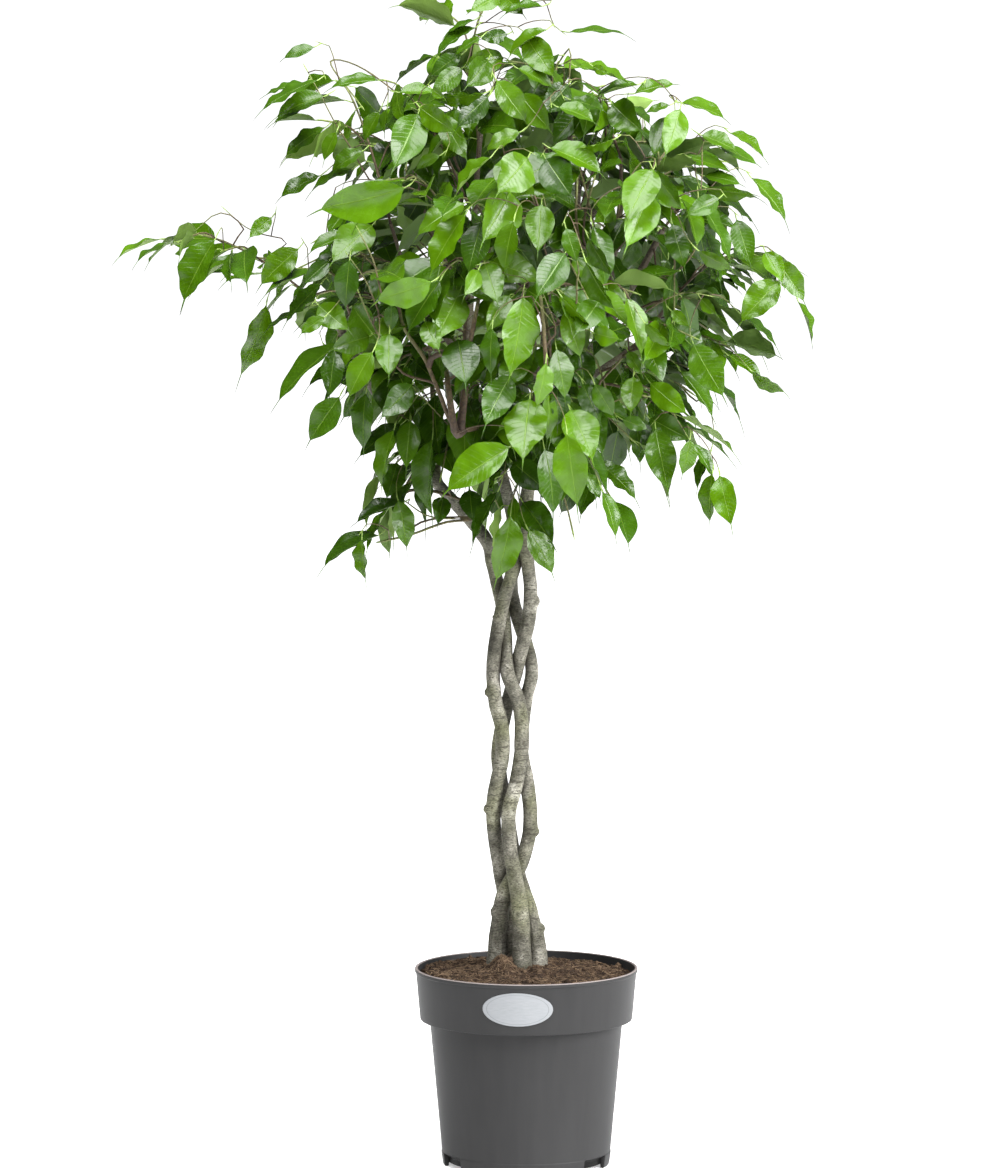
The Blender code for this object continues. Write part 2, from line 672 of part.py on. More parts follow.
def cutter(name, mesh_maker, collection):
    """A guide solid that only cuts: never rendered, drawn as wire."""
    mesh = bpy.data.meshes.new(name)
    solid = bmesh.new()
    mesh_maker(solid)
    solid.to_mesh(mesh)
    solid.free()
    thing = new_object(name, mesh, collection)
    thing.hide_render = True
    thing.display_type = "WIRE"
    return thing


def build_pot(collection, material):
    """The moulded pot: gaps between its feet show the recessed base, and its floor has drain holes."""
    blank = turned("pot_blank", pot_profile(), collection, material)
    cutters = guides("pot_cutters")

    def gap(solid):
        bmesh.ops.create_grid(solid, x_segments=1, y_segments=GAP_STEPS, size=1)
        made = bmesh.ops.extrude_face_region(solid, geom=solid.faces[:])
        raised = [item for item in made["geom"] if isinstance(item, bmesh.types.BMVert)]
        bmesh.ops.translate(solid, verts=raised, vec=(0, 0, 1))
        inner = RING_RADIUS * math.cos(math.pi / POT_STEPS) - 0.05 * MM
        for vertex in solid.verts:
            radius = lerp(inner, FOOT_RADIUS + FOOT_DEPTH, (vertex.co.x + 1) / 2)
            angle = vertex.co.y * GAP_ANGLE / 2
            height = lerp(-FOOT_HEIGHT, FOOT_HEIGHT, vertex.co.z)
            vertex.co = (radius * math.cos(angle), radius * math.sin(angle), height)
        bmesh.ops.recalc_face_normals(solid, faces=solid.faces)

    def drain(solid):
        bmesh.ops.create_cone(solid, cap_ends=True, segments=HOLE_SIDES, radius1=DRAIN_RADIUS,
                              radius2=DRAIN_RADIUS, depth=CUTTER_DEPTH)

    for k in range(FEET):
        tool = cutter(f"foot_gap_{k + 1}", gap, cutters)
        tool.rotation_euler.z = FIRST_GAP + k * 2 * math.pi / FEET
    for k in range(DRAIN_HOLES):
        angle = k * 2 * math.pi / DRAIN_HOLES
        tool = cutter(f"drain_hole_{k + 1}", drain, cutters)
        tool.location = (DRAIN_CIRCLE * math.cos(angle), DRAIN_CIRCLE * math.sin(angle), FLOOR_TOP)
    pot = combine("pot", blank, cutters, collection, material, "DIFFERENCE", "EXACT")
    shade_round(pot.data)


def collar_radius(height):
    """The collar's outer radius at a height."""
    share = (height - COLLAR_BOTTOM) / (RIM_TOP - LIP_HEIGHT - COLLAR_BOTTOM)
    return lerp(COLLAR_BOTTOM_RADIUS, RIM_RADIUS - LIP_PROUD, share)


def build_label(collection, material):
    """The bare oval label: a thin plate bent round the collar."""
    mesh = bpy.data.meshes.new("label_sheet")
    grid = bmesh.new()
    bmesh.ops.create_grid(grid, x_segments=LABEL_COLUMNS, y_segments=1, size=1)
    for vertex in grid.verts:
        across = LABEL_WIDTH / 2 * math.sin(vertex.co.x * math.pi / 2)
        height = LABEL_Z + vertex.co.y * LABEL_HEIGHT / 2 * math.cos(vertex.co.x * math.pi / 2)
        radius = collar_radius(height) + FIT_GAP
        angle = across / radius + LABEL_TURN
        vertex.co = (radius * math.sin(angle), -radius * math.cos(angle), height)
    bmesh.ops.remove_doubles(grid, verts=grid.verts, dist=0.1 * MM)
    grid.to_mesh(mesh)
    grid.free()
    sheet = new_object("label_sheet", mesh, collection)
    solid = sheet.modifiers.new("Thickness", "SOLIDIFY")
    solid.thickness = LABEL_THICKNESS
    solid.offset = 1.0
    plate = evaluated_mesh(sheet)
    bpy.data.objects.remove(sheet)
    shade_round(plate)
    new_object("label", plate, collection, material)


def soil_height(radius):
    """The soil's surface: level at the pot's wall and rising towards the stems."""
    share = min(radius / COLLAR_BOTTOM_RADIUS, 1.0)
    return lerp(SOIL_CROWN_Z, SOIL_EDGE_Z, share ** SOIL_FALL)


def build_soil(stems, collection, material):
    """The potting soil, with a plain round hole for each stem."""
    edge = lerp(COLLAR_BOTTOM_RADIUS, RIM_RADIUS - LIP_PROUD,
                (SOIL_EDGE_Z - COLLAR_BOTTOM) / (RIM_TOP - COLLAR_BOTTOM)) - WALL - SOIL_GAP
    ledge = FOOT_HEIGHT + WALL + FIT_GAP
    profile = ((0, FLOOR_TOP + FIT_GAP), (RING_RADIUS - WALL - SOIL_GAP, FLOOR_TOP + FIT_GAP),
               (RING_RADIUS - WALL - SOIL_GAP, ledge), (wall_radius(ledge) - WALL - SOIL_GAP, ledge),
               (BODY_TOP_RADIUS - WALL - SOIL_GAP, COLLAR_BOTTOM + WALL + FIT_GAP),
               (COLLAR_BOTTOM_RADIUS - WALL - SOIL_GAP, COLLAR_BOTTOM + WALL + FIT_GAP),
               (edge, SOIL_EDGE_Z), *((radius, soil_height(radius)) for radius in SOIL_RINGS),
               (0, SOIL_CROWN_Z))
    smooth = turned("smooth_soil", profile, collection, None)
    mesh = evaluated_mesh(smooth)
    bpy.data.objects.remove(smooth)
    rough = np.random.default_rng(SOIL_SEED)
    for vertex in mesh.vertices:
        if vertex.co.z > SOIL_EDGE_Z + FIT_GAP:
            vertex.co.z += rough.uniform(-SOIL_ROUGH, SOIL_ROUGH)
    blank = new_object("soil_blank", mesh, collection)
    cutters = guides("soil_cutters")
    depth = 2 * (SOIL_CROWN_Z - HOLE_BOTTOM)
    for name, line in stems.items():
        radius = (stem_radius(line[0, 2]) * MM + FIT_GAP) / math.cos(math.pi / HOLE_SIDES)

        def hole(solid):
            bmesh.ops.create_cone(solid, cap_ends=True, segments=HOLE_SIDES, radius1=radius,
                                  radius2=radius, depth=depth)

        tool = cutter(f"stem_hole_{name}", hole, cutters)
        tool.location = (line[0, 0] * MM, line[0, 1] * MM, HOLE_BOTTOM + depth / 2)
    combine("soil", blank, cutters, collection, material, "DIFFERENCE", "EXACT")


def build_stem(name, line, limbs, sections, collection, material):
    """One plaited stem with its limbs and knobs, fused."""
    repeats = guides("stem_parts")
    for k, (stem, path, radii) in enumerate(limbs):
        if stem == name:
            curve_tube(f"limb_{k + 1}", path, radii, sections["limb"], repeats)
    for k, (stem, height, degrees) in enumerate(KNOBS):
        if stem == name:
            add_knob(f"knob_{k + 1}", line, height, math.radians(degrees), repeats)
    body = curve_tube(f"stem_{name}_wood", line, stem_radius(line[:, 2]), sections["stem"], collection)
    stem = combine(f"stem_{name}", body, repeats, collection, material)
    shade_round(stem.data)
    return stem


def add_knob(name, line, height, angle, collection):
    """The scar of a cut side shoot: a small round lump half sunk in the stem."""
    middle = np.array([np.interp(height, line[:, 2], line[:, axis]) for axis in range(2)] + [height])
    reach = stem_radius(height) - KNOB_SINK * KNOB_RADIUS
    place = middle + np.array([math.cos(angle), math.sin(angle), 0]) * reach
    mesh = bpy.data.meshes.new(name)
    lump = bmesh.new()
    bmesh.ops.create_icosphere(lump, subdivisions=1, radius=KNOB_RADIUS * MM)
    bmesh.ops.translate(lump, verts=lump.verts, vec=Vector(place * MM))
    lump.to_mesh(mesh)
    lump.free()
    new_object(name, mesh, collection)


def trimmed(path, radii, wood):
    """The twig from where it first stands clear of the wood that it grows from."""
    for distance in np.arange(TRIM_STEP, TRIM_REACH, TRIM_STEP):
        outer, outer_radii = beyond(path, radii, distance)
        fat = outer.copy()
        fat[0] -= unit(outer[1] - outer[0]) * TRIM_STEP
        if not search_tree([tube(fat, outer_radii + TRIM_STEP, 12)])[0].overlap(wood):
            return outer, outer_radii
    raise ValueError("a spray never leaves its wood")


def build_spray(name, twigs, leaves, wood, section, collection, material):
    """One spray: its twigs and leaves, fused."""
    repeats = guides("spray_parts")
    main, radii = trimmed(*twigs[0], wood)
    for k, (path, thickness) in enumerate(twigs[1:]):
        curve_tube(f"{name}_twig_{k + 1}", path, thickness, section, repeats)
    for k, placed in enumerate(leaves):
        mesh = mesh_from_shape(f"{name}_leaf_{k + 1}", leaf(*placed))
        new_object(f"{name}_leaf_{k + 1}", mesh, repeats)
    body = curve_tube(f"{name}_main", main, radii, section, collection)
    combine(name, body, repeats, collection, material)


def build():
    """Clear the scene and model the plant in its pot."""
    for thing in list(bpy.data.objects):
        bpy.data.objects.remove(thing)
    plant = bpy.data.collections.new("potted_weeping_fig")
    bpy.context.scene.collection.children.link(plant)

    plastic = plain_material("pot_plastic", (0.085, 0.086, 0.092), 0.42)
    peat = plain_material("peat", (0.050, 0.026, 0.014), 0.95)
    sticker = plain_material("label_film", (0.80, 0.81, 0.82), 0.35)
    bark = plain_material("bark", (0.30, 0.26, 0.18), 0.80)
    foliage = plain_material("fig_leaf", (0.10, 0.26, 0.022), 0.35)

    sections = {name: round_profile(sides, plant) for name, sides in SECTION_SIDES.items()}
    stems = plait()
    limbs = limb_lines(stems)
    wood = {}
    crown = Crown()
    for name, line in stems.items():
        stem = build_stem(name, line, limbs, sections, plant, bark)
        wood[name] = search_tree([shape_of(stem.data)])[0]
        crown.add([tube(line, stem_radius(line[:, 2]) + CLEARANCE, 8)])
    for _, path, radii in limbs:
        crown.add([tube(path, radii + CLEARANCE, 8)])
    for index, ((base, stem), tip) in enumerate(zip(spray_bases(stems, limbs), SPRAY_TIPS)):
        twigs, leaves = grow_spray(index, base, np.array(tip, float), crown)
        if not twigs:
            print(f"spray {index + 1} found no room")
            continue
        build_spray(f"spray_{index + 1:02d}", twigs, leaves, wood[stem], sections["twig"], plant, foliage)
        crown.add([tube(path, radii, 4) for path, radii in twigs] + [leaf(*placed) for placed in leaves])
    for section in sections.values():
        bpy.data.objects.remove(section)
    build_pot(plant, plastic)
    build_label(plant, sticker)
    build_soil(stems, plant, peat)


build()
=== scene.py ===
"""Looks of the potted weeping fig: leaves, twigs, bark, soil, pot and label, with floor, lights and camera.

Lengths are in metres, except in the plant's own tables and functions, which are in millimetres like those
of the model that the frame was packed from. The plant's growth is repeated here with the same seeds, so that
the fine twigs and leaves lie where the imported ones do. Further twigs and leaves are then laid clear of them:
first those that the photograph shows on the crown's face, then those between and behind them.
"""
import math
from collections import namedtuple

import bpy
import numpy as np
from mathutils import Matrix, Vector
from mathutils.bvhtree import BVHTree


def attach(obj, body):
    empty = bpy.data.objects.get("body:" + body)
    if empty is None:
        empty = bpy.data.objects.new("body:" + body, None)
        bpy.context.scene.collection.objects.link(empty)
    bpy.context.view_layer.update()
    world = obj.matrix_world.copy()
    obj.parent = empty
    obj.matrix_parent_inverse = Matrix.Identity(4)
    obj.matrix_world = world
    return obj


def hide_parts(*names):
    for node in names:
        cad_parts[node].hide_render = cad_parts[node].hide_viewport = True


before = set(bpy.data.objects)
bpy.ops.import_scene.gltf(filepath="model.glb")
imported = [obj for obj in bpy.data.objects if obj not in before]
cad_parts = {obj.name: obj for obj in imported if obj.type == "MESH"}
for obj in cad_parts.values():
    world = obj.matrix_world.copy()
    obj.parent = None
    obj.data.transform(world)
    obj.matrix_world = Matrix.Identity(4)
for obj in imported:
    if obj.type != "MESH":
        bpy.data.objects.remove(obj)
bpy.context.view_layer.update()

MM = 0.001

# Pot, metres
RIM_TOP = 0.187
RIM_RADIUS = 0.105
LIP_HEIGHT = 0.004
LIP_PROUD = 0.001
COLLAR_BOTTOM = 0.138
COLLAR_BOTTOM_RADIUS = 0.100
BODY_TOP_RADIUS = 0.091
FOOT_RADIUS = 0.0783
WALL = 0.0018
BASE_Z = 0.004
FLOOR_TOP = 0.006
HUB_RADIUS = 0.012
FEET = 3
FIRST_GAP = math.radians(-34)
GAP_ANGLE = math.radians(25)
GAP_SLOPE = math.radians(0.35)
POT_SIDES = 144
CORNER_RADIUS = 0.0012
LIP_CORNER = 0.0005
RING_MARGIN = 0.0003
AXIS_SHARE = 0.02
EDGE_ANGLE = math.radians(50)
FOOT_HEIGHT = 0.0125
FOOT_DEPTH = 0.0035
RING_RADIUS = FOOT_RADIUS - FOOT_DEPTH
FOOT_PROUD = 0.0005

# Label on the collar, metres
LABEL_WIDTH = 0.067
LABEL_HEIGHT = 0.0318
LABEL_THICKNESS = 0.0006
LABEL_Z = 0.163
LABEL_TURN = math.radians(-4.8)
FIT_GAP = 0.3 * MM

# Soil, metres
SOIL_EDGE_Z = 0.180
SOIL_CROWN_Z = 0.194
SOIL_TILT = 0.002
SOIL_FALL = 0.7
PILE_AT = (-0.024, -0.020)
PILE_HEIGHT = 0.013
PILE_FIBRES = 170
PILE_REACH = 0.0085
PILE_SPREAD = 0.14
SOIL_NOISES = ((0.0022, 90, 31), (0.0011, 260, 32))
SOIL_SIDES = 180
SOIL_RINGS = 56
SOIL_MIDDLE = 0.0004
SOIL_FIRST_RING = 0.002
SOIL_INSET = 1.3
SOIL_LIFT = 1.2
SOIL_SEED = 61
CRUMBS = 3000
CRUMB_MARGIN = 0.002
FIBRES = 1500
FIBRE_MARGIN = 0.006
FIBRE_LIFT = 0.0008

# Crumbs and fibres, millimetres and shares
CRUMB_SPREAD = (2.2, 0.42)
LEAST_CRUMB = 0.35
CRUMB_SHADES = (1, 5)
PALEST_CRUMB = 0.8
CRUMB_LATITUDES = np.array([-1.25, -0.45, 0.45, 1.25])
CRUMB_ROUGHNESS = (0.65, 1.3)
CRUMB_STRETCH = (0.6, 1.5)
CRUMB_FLATNESS = (0.45, 0.9)
FIBRE_LENGTHS = (4, 15)
FIBRE_RADII = (0.12, 0.34)
FIBRE_SHADES = (0.15, 1.0)
FIBRE_TAPER = np.array([0.5, 1, 1, 0.9, 0.3])
FIBRE_BEND = 1.4
FIBRE_HEIGHTS = (0.2, 1.5)
FIBRE_LIMIT = 96.0
STEM_FOOT = 0.1285

# Stems, millimetres: each point is (across, depth, height), from the soil to the stem's tip
STEM_RADII = ((128, 7.8), (200, 7.6), (300, 6.4), (420, 6.1), (600, 5.8), (740, 4.6), (900, 2.8),
              (1060, 1.7))
PLAIT_TOP = 610
PLAIT_STEP = 26
CROWN_STEP = 58
KEY_STEP = 4.0
SMOOTHED_KEYS = 9
CURVE_POINTS = 12
STEM_GAP = 0.45
UPRIGHT = 16
PUSH_ROUNDS = 160
PUSH_SHARE = 0.35
PUSH_ENOUGH = 0.02
PUSH_MARKS = np.array([0.0, 0.25, 0.5, 0.75])
STEMS = {
    "a": ((-15, 14, 198), (-15, 14, 222), (-18, 13, 245), (-22, 13, 264), (-25, 9, 279), (-27, 4, 298),
          (-31, 0, 317), (-31, -3, 345), (-27, -7, 367), (-20, -10, 402), (-23, -9, 416), (-28, -7, 435),
          (-31, -6, 449), (-31, -6, 473), (-28, -8, 497), (-24, -8, 525), (-19, -7, 545), (-10, -3, 566),
          (-9, 2, 590), (-11, 5, 615), (-22, 2, 650), (-36, -4, 695), (-53, -8, 741), (-54, -8, 798),
          (-50, -6, 860), (-48, -4, 920), (-42, -2, 975)),
    "b": ((-28, 3, 198), (-27, 2, 222), (-22, 0, 245), (-18, 1, 264), (-9, 3, 279), (0, 4, 290),
          (3, 3, 317), (4, 2, 341), (1, 4, 360), (-4, 8, 383), (-5, 9, 402), (-4, 9, 416), (-1, 8, 435),
          (1, 4, 449), (1, 4, 473), (-4, 9, 497), (-10, 12, 525), (-15, 13, 545), (-12, 16, 575),
          (-4, 20, 610), (6, 24, 660), (14, 28, 710), (17, 31, 741), (17, 34, 807), (30, 34, 850),
          (46, 31, 882), (50, 27, 919), (42, 19, 965), (30, 10, 1005)),
    "c": ((11, 2, 198), (9, 3, 222), (1, 4, 245), (-6, 9, 264), (-11, 14, 283), (-15, 15, 310),
          (-18, 13, 335), (-25, 11, 367), (-27, 9, 402), (-21, 10, 419), (-17, 10, 437), (-15, 9, 451),
          (-6, 4, 473), (-3, -3, 497), (4, -4, 525), (4, -5, 545), (1, -7, 575), (-1, -8, 592),
          (0, -9, 629), (8, -11, 676), (32, -20, 722), (68, -34, 788), (104, -46, 842), (128, -52, 886)),
    "d": ((-4, -11, 198), (-5, -12, 222), (-5, -13, 245), (-9, -13, 264), (-12, -13, 279), (-14, -12, 298),
          (-17, -11, 317), (-17, -11, 331), (-15, -10, 345), (-8, -9, 367), (-5, -8, 390), (-4, -7, 416),
          (-5, -7, 435), (-11, -7, 449), (-16, -4, 473), (-18, 2, 497), (-21, 6, 516), (-25, 6, 539),
          (-28, 4, 556), (-35, 2, 582), (-49, 0, 615), (-77, 4, 636), (-101, 8, 666), (-132, 12, 715),
          (-158, 10, 758), (-176, 6, 792)),
}

# Limbs, millimetres: the stem, the height at which the limb leaves it, and the limb's further points
LIMB_ROOT_RADIUS = 3.9
LIMB_ROOT_SHARE = 0.8
LIMB_TIP_RADIUS = 1.6
LIMB_STEP = 50
LIMBS = (
    ("a", 745, ((-82, -26, 795), (-110, -42, 842), (-126, -50, 892))),
    ("a", 700, ((-48, -46, 745), (-56, -84, 792), (-60, -104, 836))),
    ("a", 805, ((-76, 32, 850), (-98, 60, 898), (-106, 74, 935))),
    ("b", 705, ((8, 70, 760), (2, 102, 812), (0, 116, 858))),
    ("b", 855, ((62, 56, 892), (86, 72, 930))),
    ("b", 885, ((32, 62, 925), (14, 80, 962))),
    ("c", 690, ((20, -54, 732), (30, -92, 778), (34, -112, 826))),
    ("c", 724, ((74, 2, 755), (112, 18, 782), (134, 24, 812))),
    ("c", 792, ((80, -22, 850), (88, -14, 905), (88, -6, 950))),
    ("d", 645, ((-86, 54, 695), (-90, 92, 745), (-92, 108, 792))),
    ("d", 717, ((-148, -26, 756), (-160, -42, 792))),
)

# Knobs where side shoots were cut off, millimetres: the stem, the height and the direction in degrees
KNOB_RADIUS = 3.6
KNOB_HEIGHT = 3.1
KNOB_DIMPLE_RADIUS = 1.8
KNOB_DIMPLE = 1.0
KNOBS = (("a", 449, 190), ("a", 338, 175), ("b", 316, 350), ("b", 240, 200), ("c", 224, 345),
         ("c", 534, 350), ("d", 300, 260), ("a", 520, 235))

# Sprays, millimetres: where the tip of each drooping twig ends, and how twigs leave the wood
HEART = (5, 5, 800)
WISH_SHARE = 0.5
WISH_DROP = 15
SPRAY_TIPS = (
    (-334, -18, 876), (-194, -32, 814), (-208, -68, 852), (-142, 10, 794), (-124, -48, 760),
    (-90, -52, 726), (-120, 0, 626), (-90, -26, 668), (-174, 0, 1020), (-140, 42, 960),
    (-130, -38, 1024), (-80, 18, 1040), (-28, -4, 1102), (20, 18, 1022), (62, -14, 1000),
    (92, 28, 980), (120, -18, 962), (148, 18, 956), (166, -28, 918), (196, 14, 856),
    (170, -32, 814), (146, 18, 780), (116, -26, 748), (134, -14, 708), (28, 10, 724),
    (42, -100, 730), (22, -48, 682), (-16, -68, 694), (-28, -100, 724), (-48, 10, 678),
    (-12, -194, 838), (-20, -164, 960), (90, -148, 934), (-112, -126, 938), (-78, -166, 862),
    (54, -172, 834), (-126, -102, 810), (4, -154, 782), (100, -106, 794), (38, -114, 964),
    (0, 196, 852), (-108, 156, 878), (110, 154, 872), (-66, 132, 972), (62, 132, 954),
    (-78, 148, 758), (66, 148, 754), (-138, 106, 820),
)
WOOD_STEP = 9
BASE_SPACING = 17
TWIG_ROOT_RADIUS = 1.7
TWIG_TIP_RADIUS = 0.9
TWIG_SEGMENTS = 4
TWIG_KNEES = ((0.38, 0.20), (0.84, 0.17))
TWIG_TRIES = 24
TWIG_SWING = 0.03
TWIG_SEED = 5037
ROOT_REACH = (6, 9, 13)
SIDE_SEGMENTS = 2
SIDE_SHARE = 0.5
SIDE_LENGTHS = (48, 88)
SIDE_WAY = {"forward": 0.75, "across": 0.75, "up": 0.25}
SIDE_REACH = 0.95
SIDE_DROOP = 0.34
SIDE_SEED = 1053

# Leaves, millimetres and shares of the blade's length
LEAF_LENGTHS = (46, 76)
LEAF_WIDTH_SHARE = 0.235
PETIOLE = 9
PETIOLE_WIDTH = 1.2
ROOT_SHARE = 0.4
BLADE_STATIONS = ((0.0, 0.035), (0.29, 0.92), (0.60, 0.86), (0.84, 0.27))
BLADE_THICKNESS = 0.7
BLADE_FOLD = 0.11
BLADE_ARCH = 0.16
STALK_WAY = {"forward": 0.60, "across": 0.80, "out": 0.25, "spread": 0.10}
BLADE_WAY = {"forward": 0.60, "across": 0.60, "out": 0.22, "spread": 0.12}
TWIG_FALL = 0.4
BLADE_DROOPS = (0.05, 0.62)
FACE_WAY = {"out": 0.85, "up": 0.55, "spread": 0.20}
UPRIGHT_FACES = 50
END_LEAF_TURN = 0.15
MAIN_LEAVES = (0.40, 0.62, 0.82, 1.0)
SIDE_LEAVES = (0.55, 1.0)
SHORT_TWIG = 112
LEAF_TRIES = 14
LEAF_SWING = 0.04
LEAF_SEEDS = 100
CLEARANCE = 0.5

# Fine wood, millimetres: how much thicker the stems are where they press together in the plait, how far the
# painted shade in their crevices reaches, and the share and the scale per metre of the two noises in the
# radius
STEM_SWELL = 1.09
SWELL_END = 80
STEM_SIDES = 36
STEM_FOOT_FLARE = 1.6
FOOT_FLARE_REACH = 9.0
LIMB_SIDES = 20
LIMB_FLARE = 0.45
FLARE_REACH = 7.0
CREVICE_REACH = 7.5
CREVICE_START = -1.0
OLD_BARK_TOP = 640
YOUNG_BARK_REACH = 420
BARK_NOISES = ((0.07, 60), (0.035, 170))
STEM_SEED = 50
LIMB_SEED = 90

# Roots and scraps of wood on the soil, millimetres
ROOTS = 26
ROOTS_MIDDLE = (-8, 0)
ROOT_STARTS = (2, 12)
ROOT_ENDS = (14, 30)
ROOT_BEND = 0.9
ROOT_LIFTS = (2, 9)
ROOT_DIVE = 1.5
ROOT_RADII = (0.9, 2.0)
ROOT_TIP_RADIUS = 0.5
ROOT_SIDES = 10
ROOT_CREVICES = (0.2, 0.8)
ROOT_YOUTHS = (0.3, 0.9)
ROOT_SEED = 83
ROOT_BARK_SEED = 200

# The camera and what it looks at, metres
CAMERA_AT = np.array([-0.0247, -8.0, 1.48])
CAMERA_AIM = np.array([-0.0247, 0.0, 0.5502])

# Softboxes: place in metres, side in metres and watts
LIGHTS = {
    "key_softbox": ((3.0, -1.8, 2.2), 2.4, 330),
    "fill_softbox": ((-2.2, -1.8, 3.8), 1.8, 40),
    "top_softbox": ((-0.3, -1.1, 3.8), 2.8, 300),
}
LIGHTS_AIM = np.array([0, 0, 0.7])
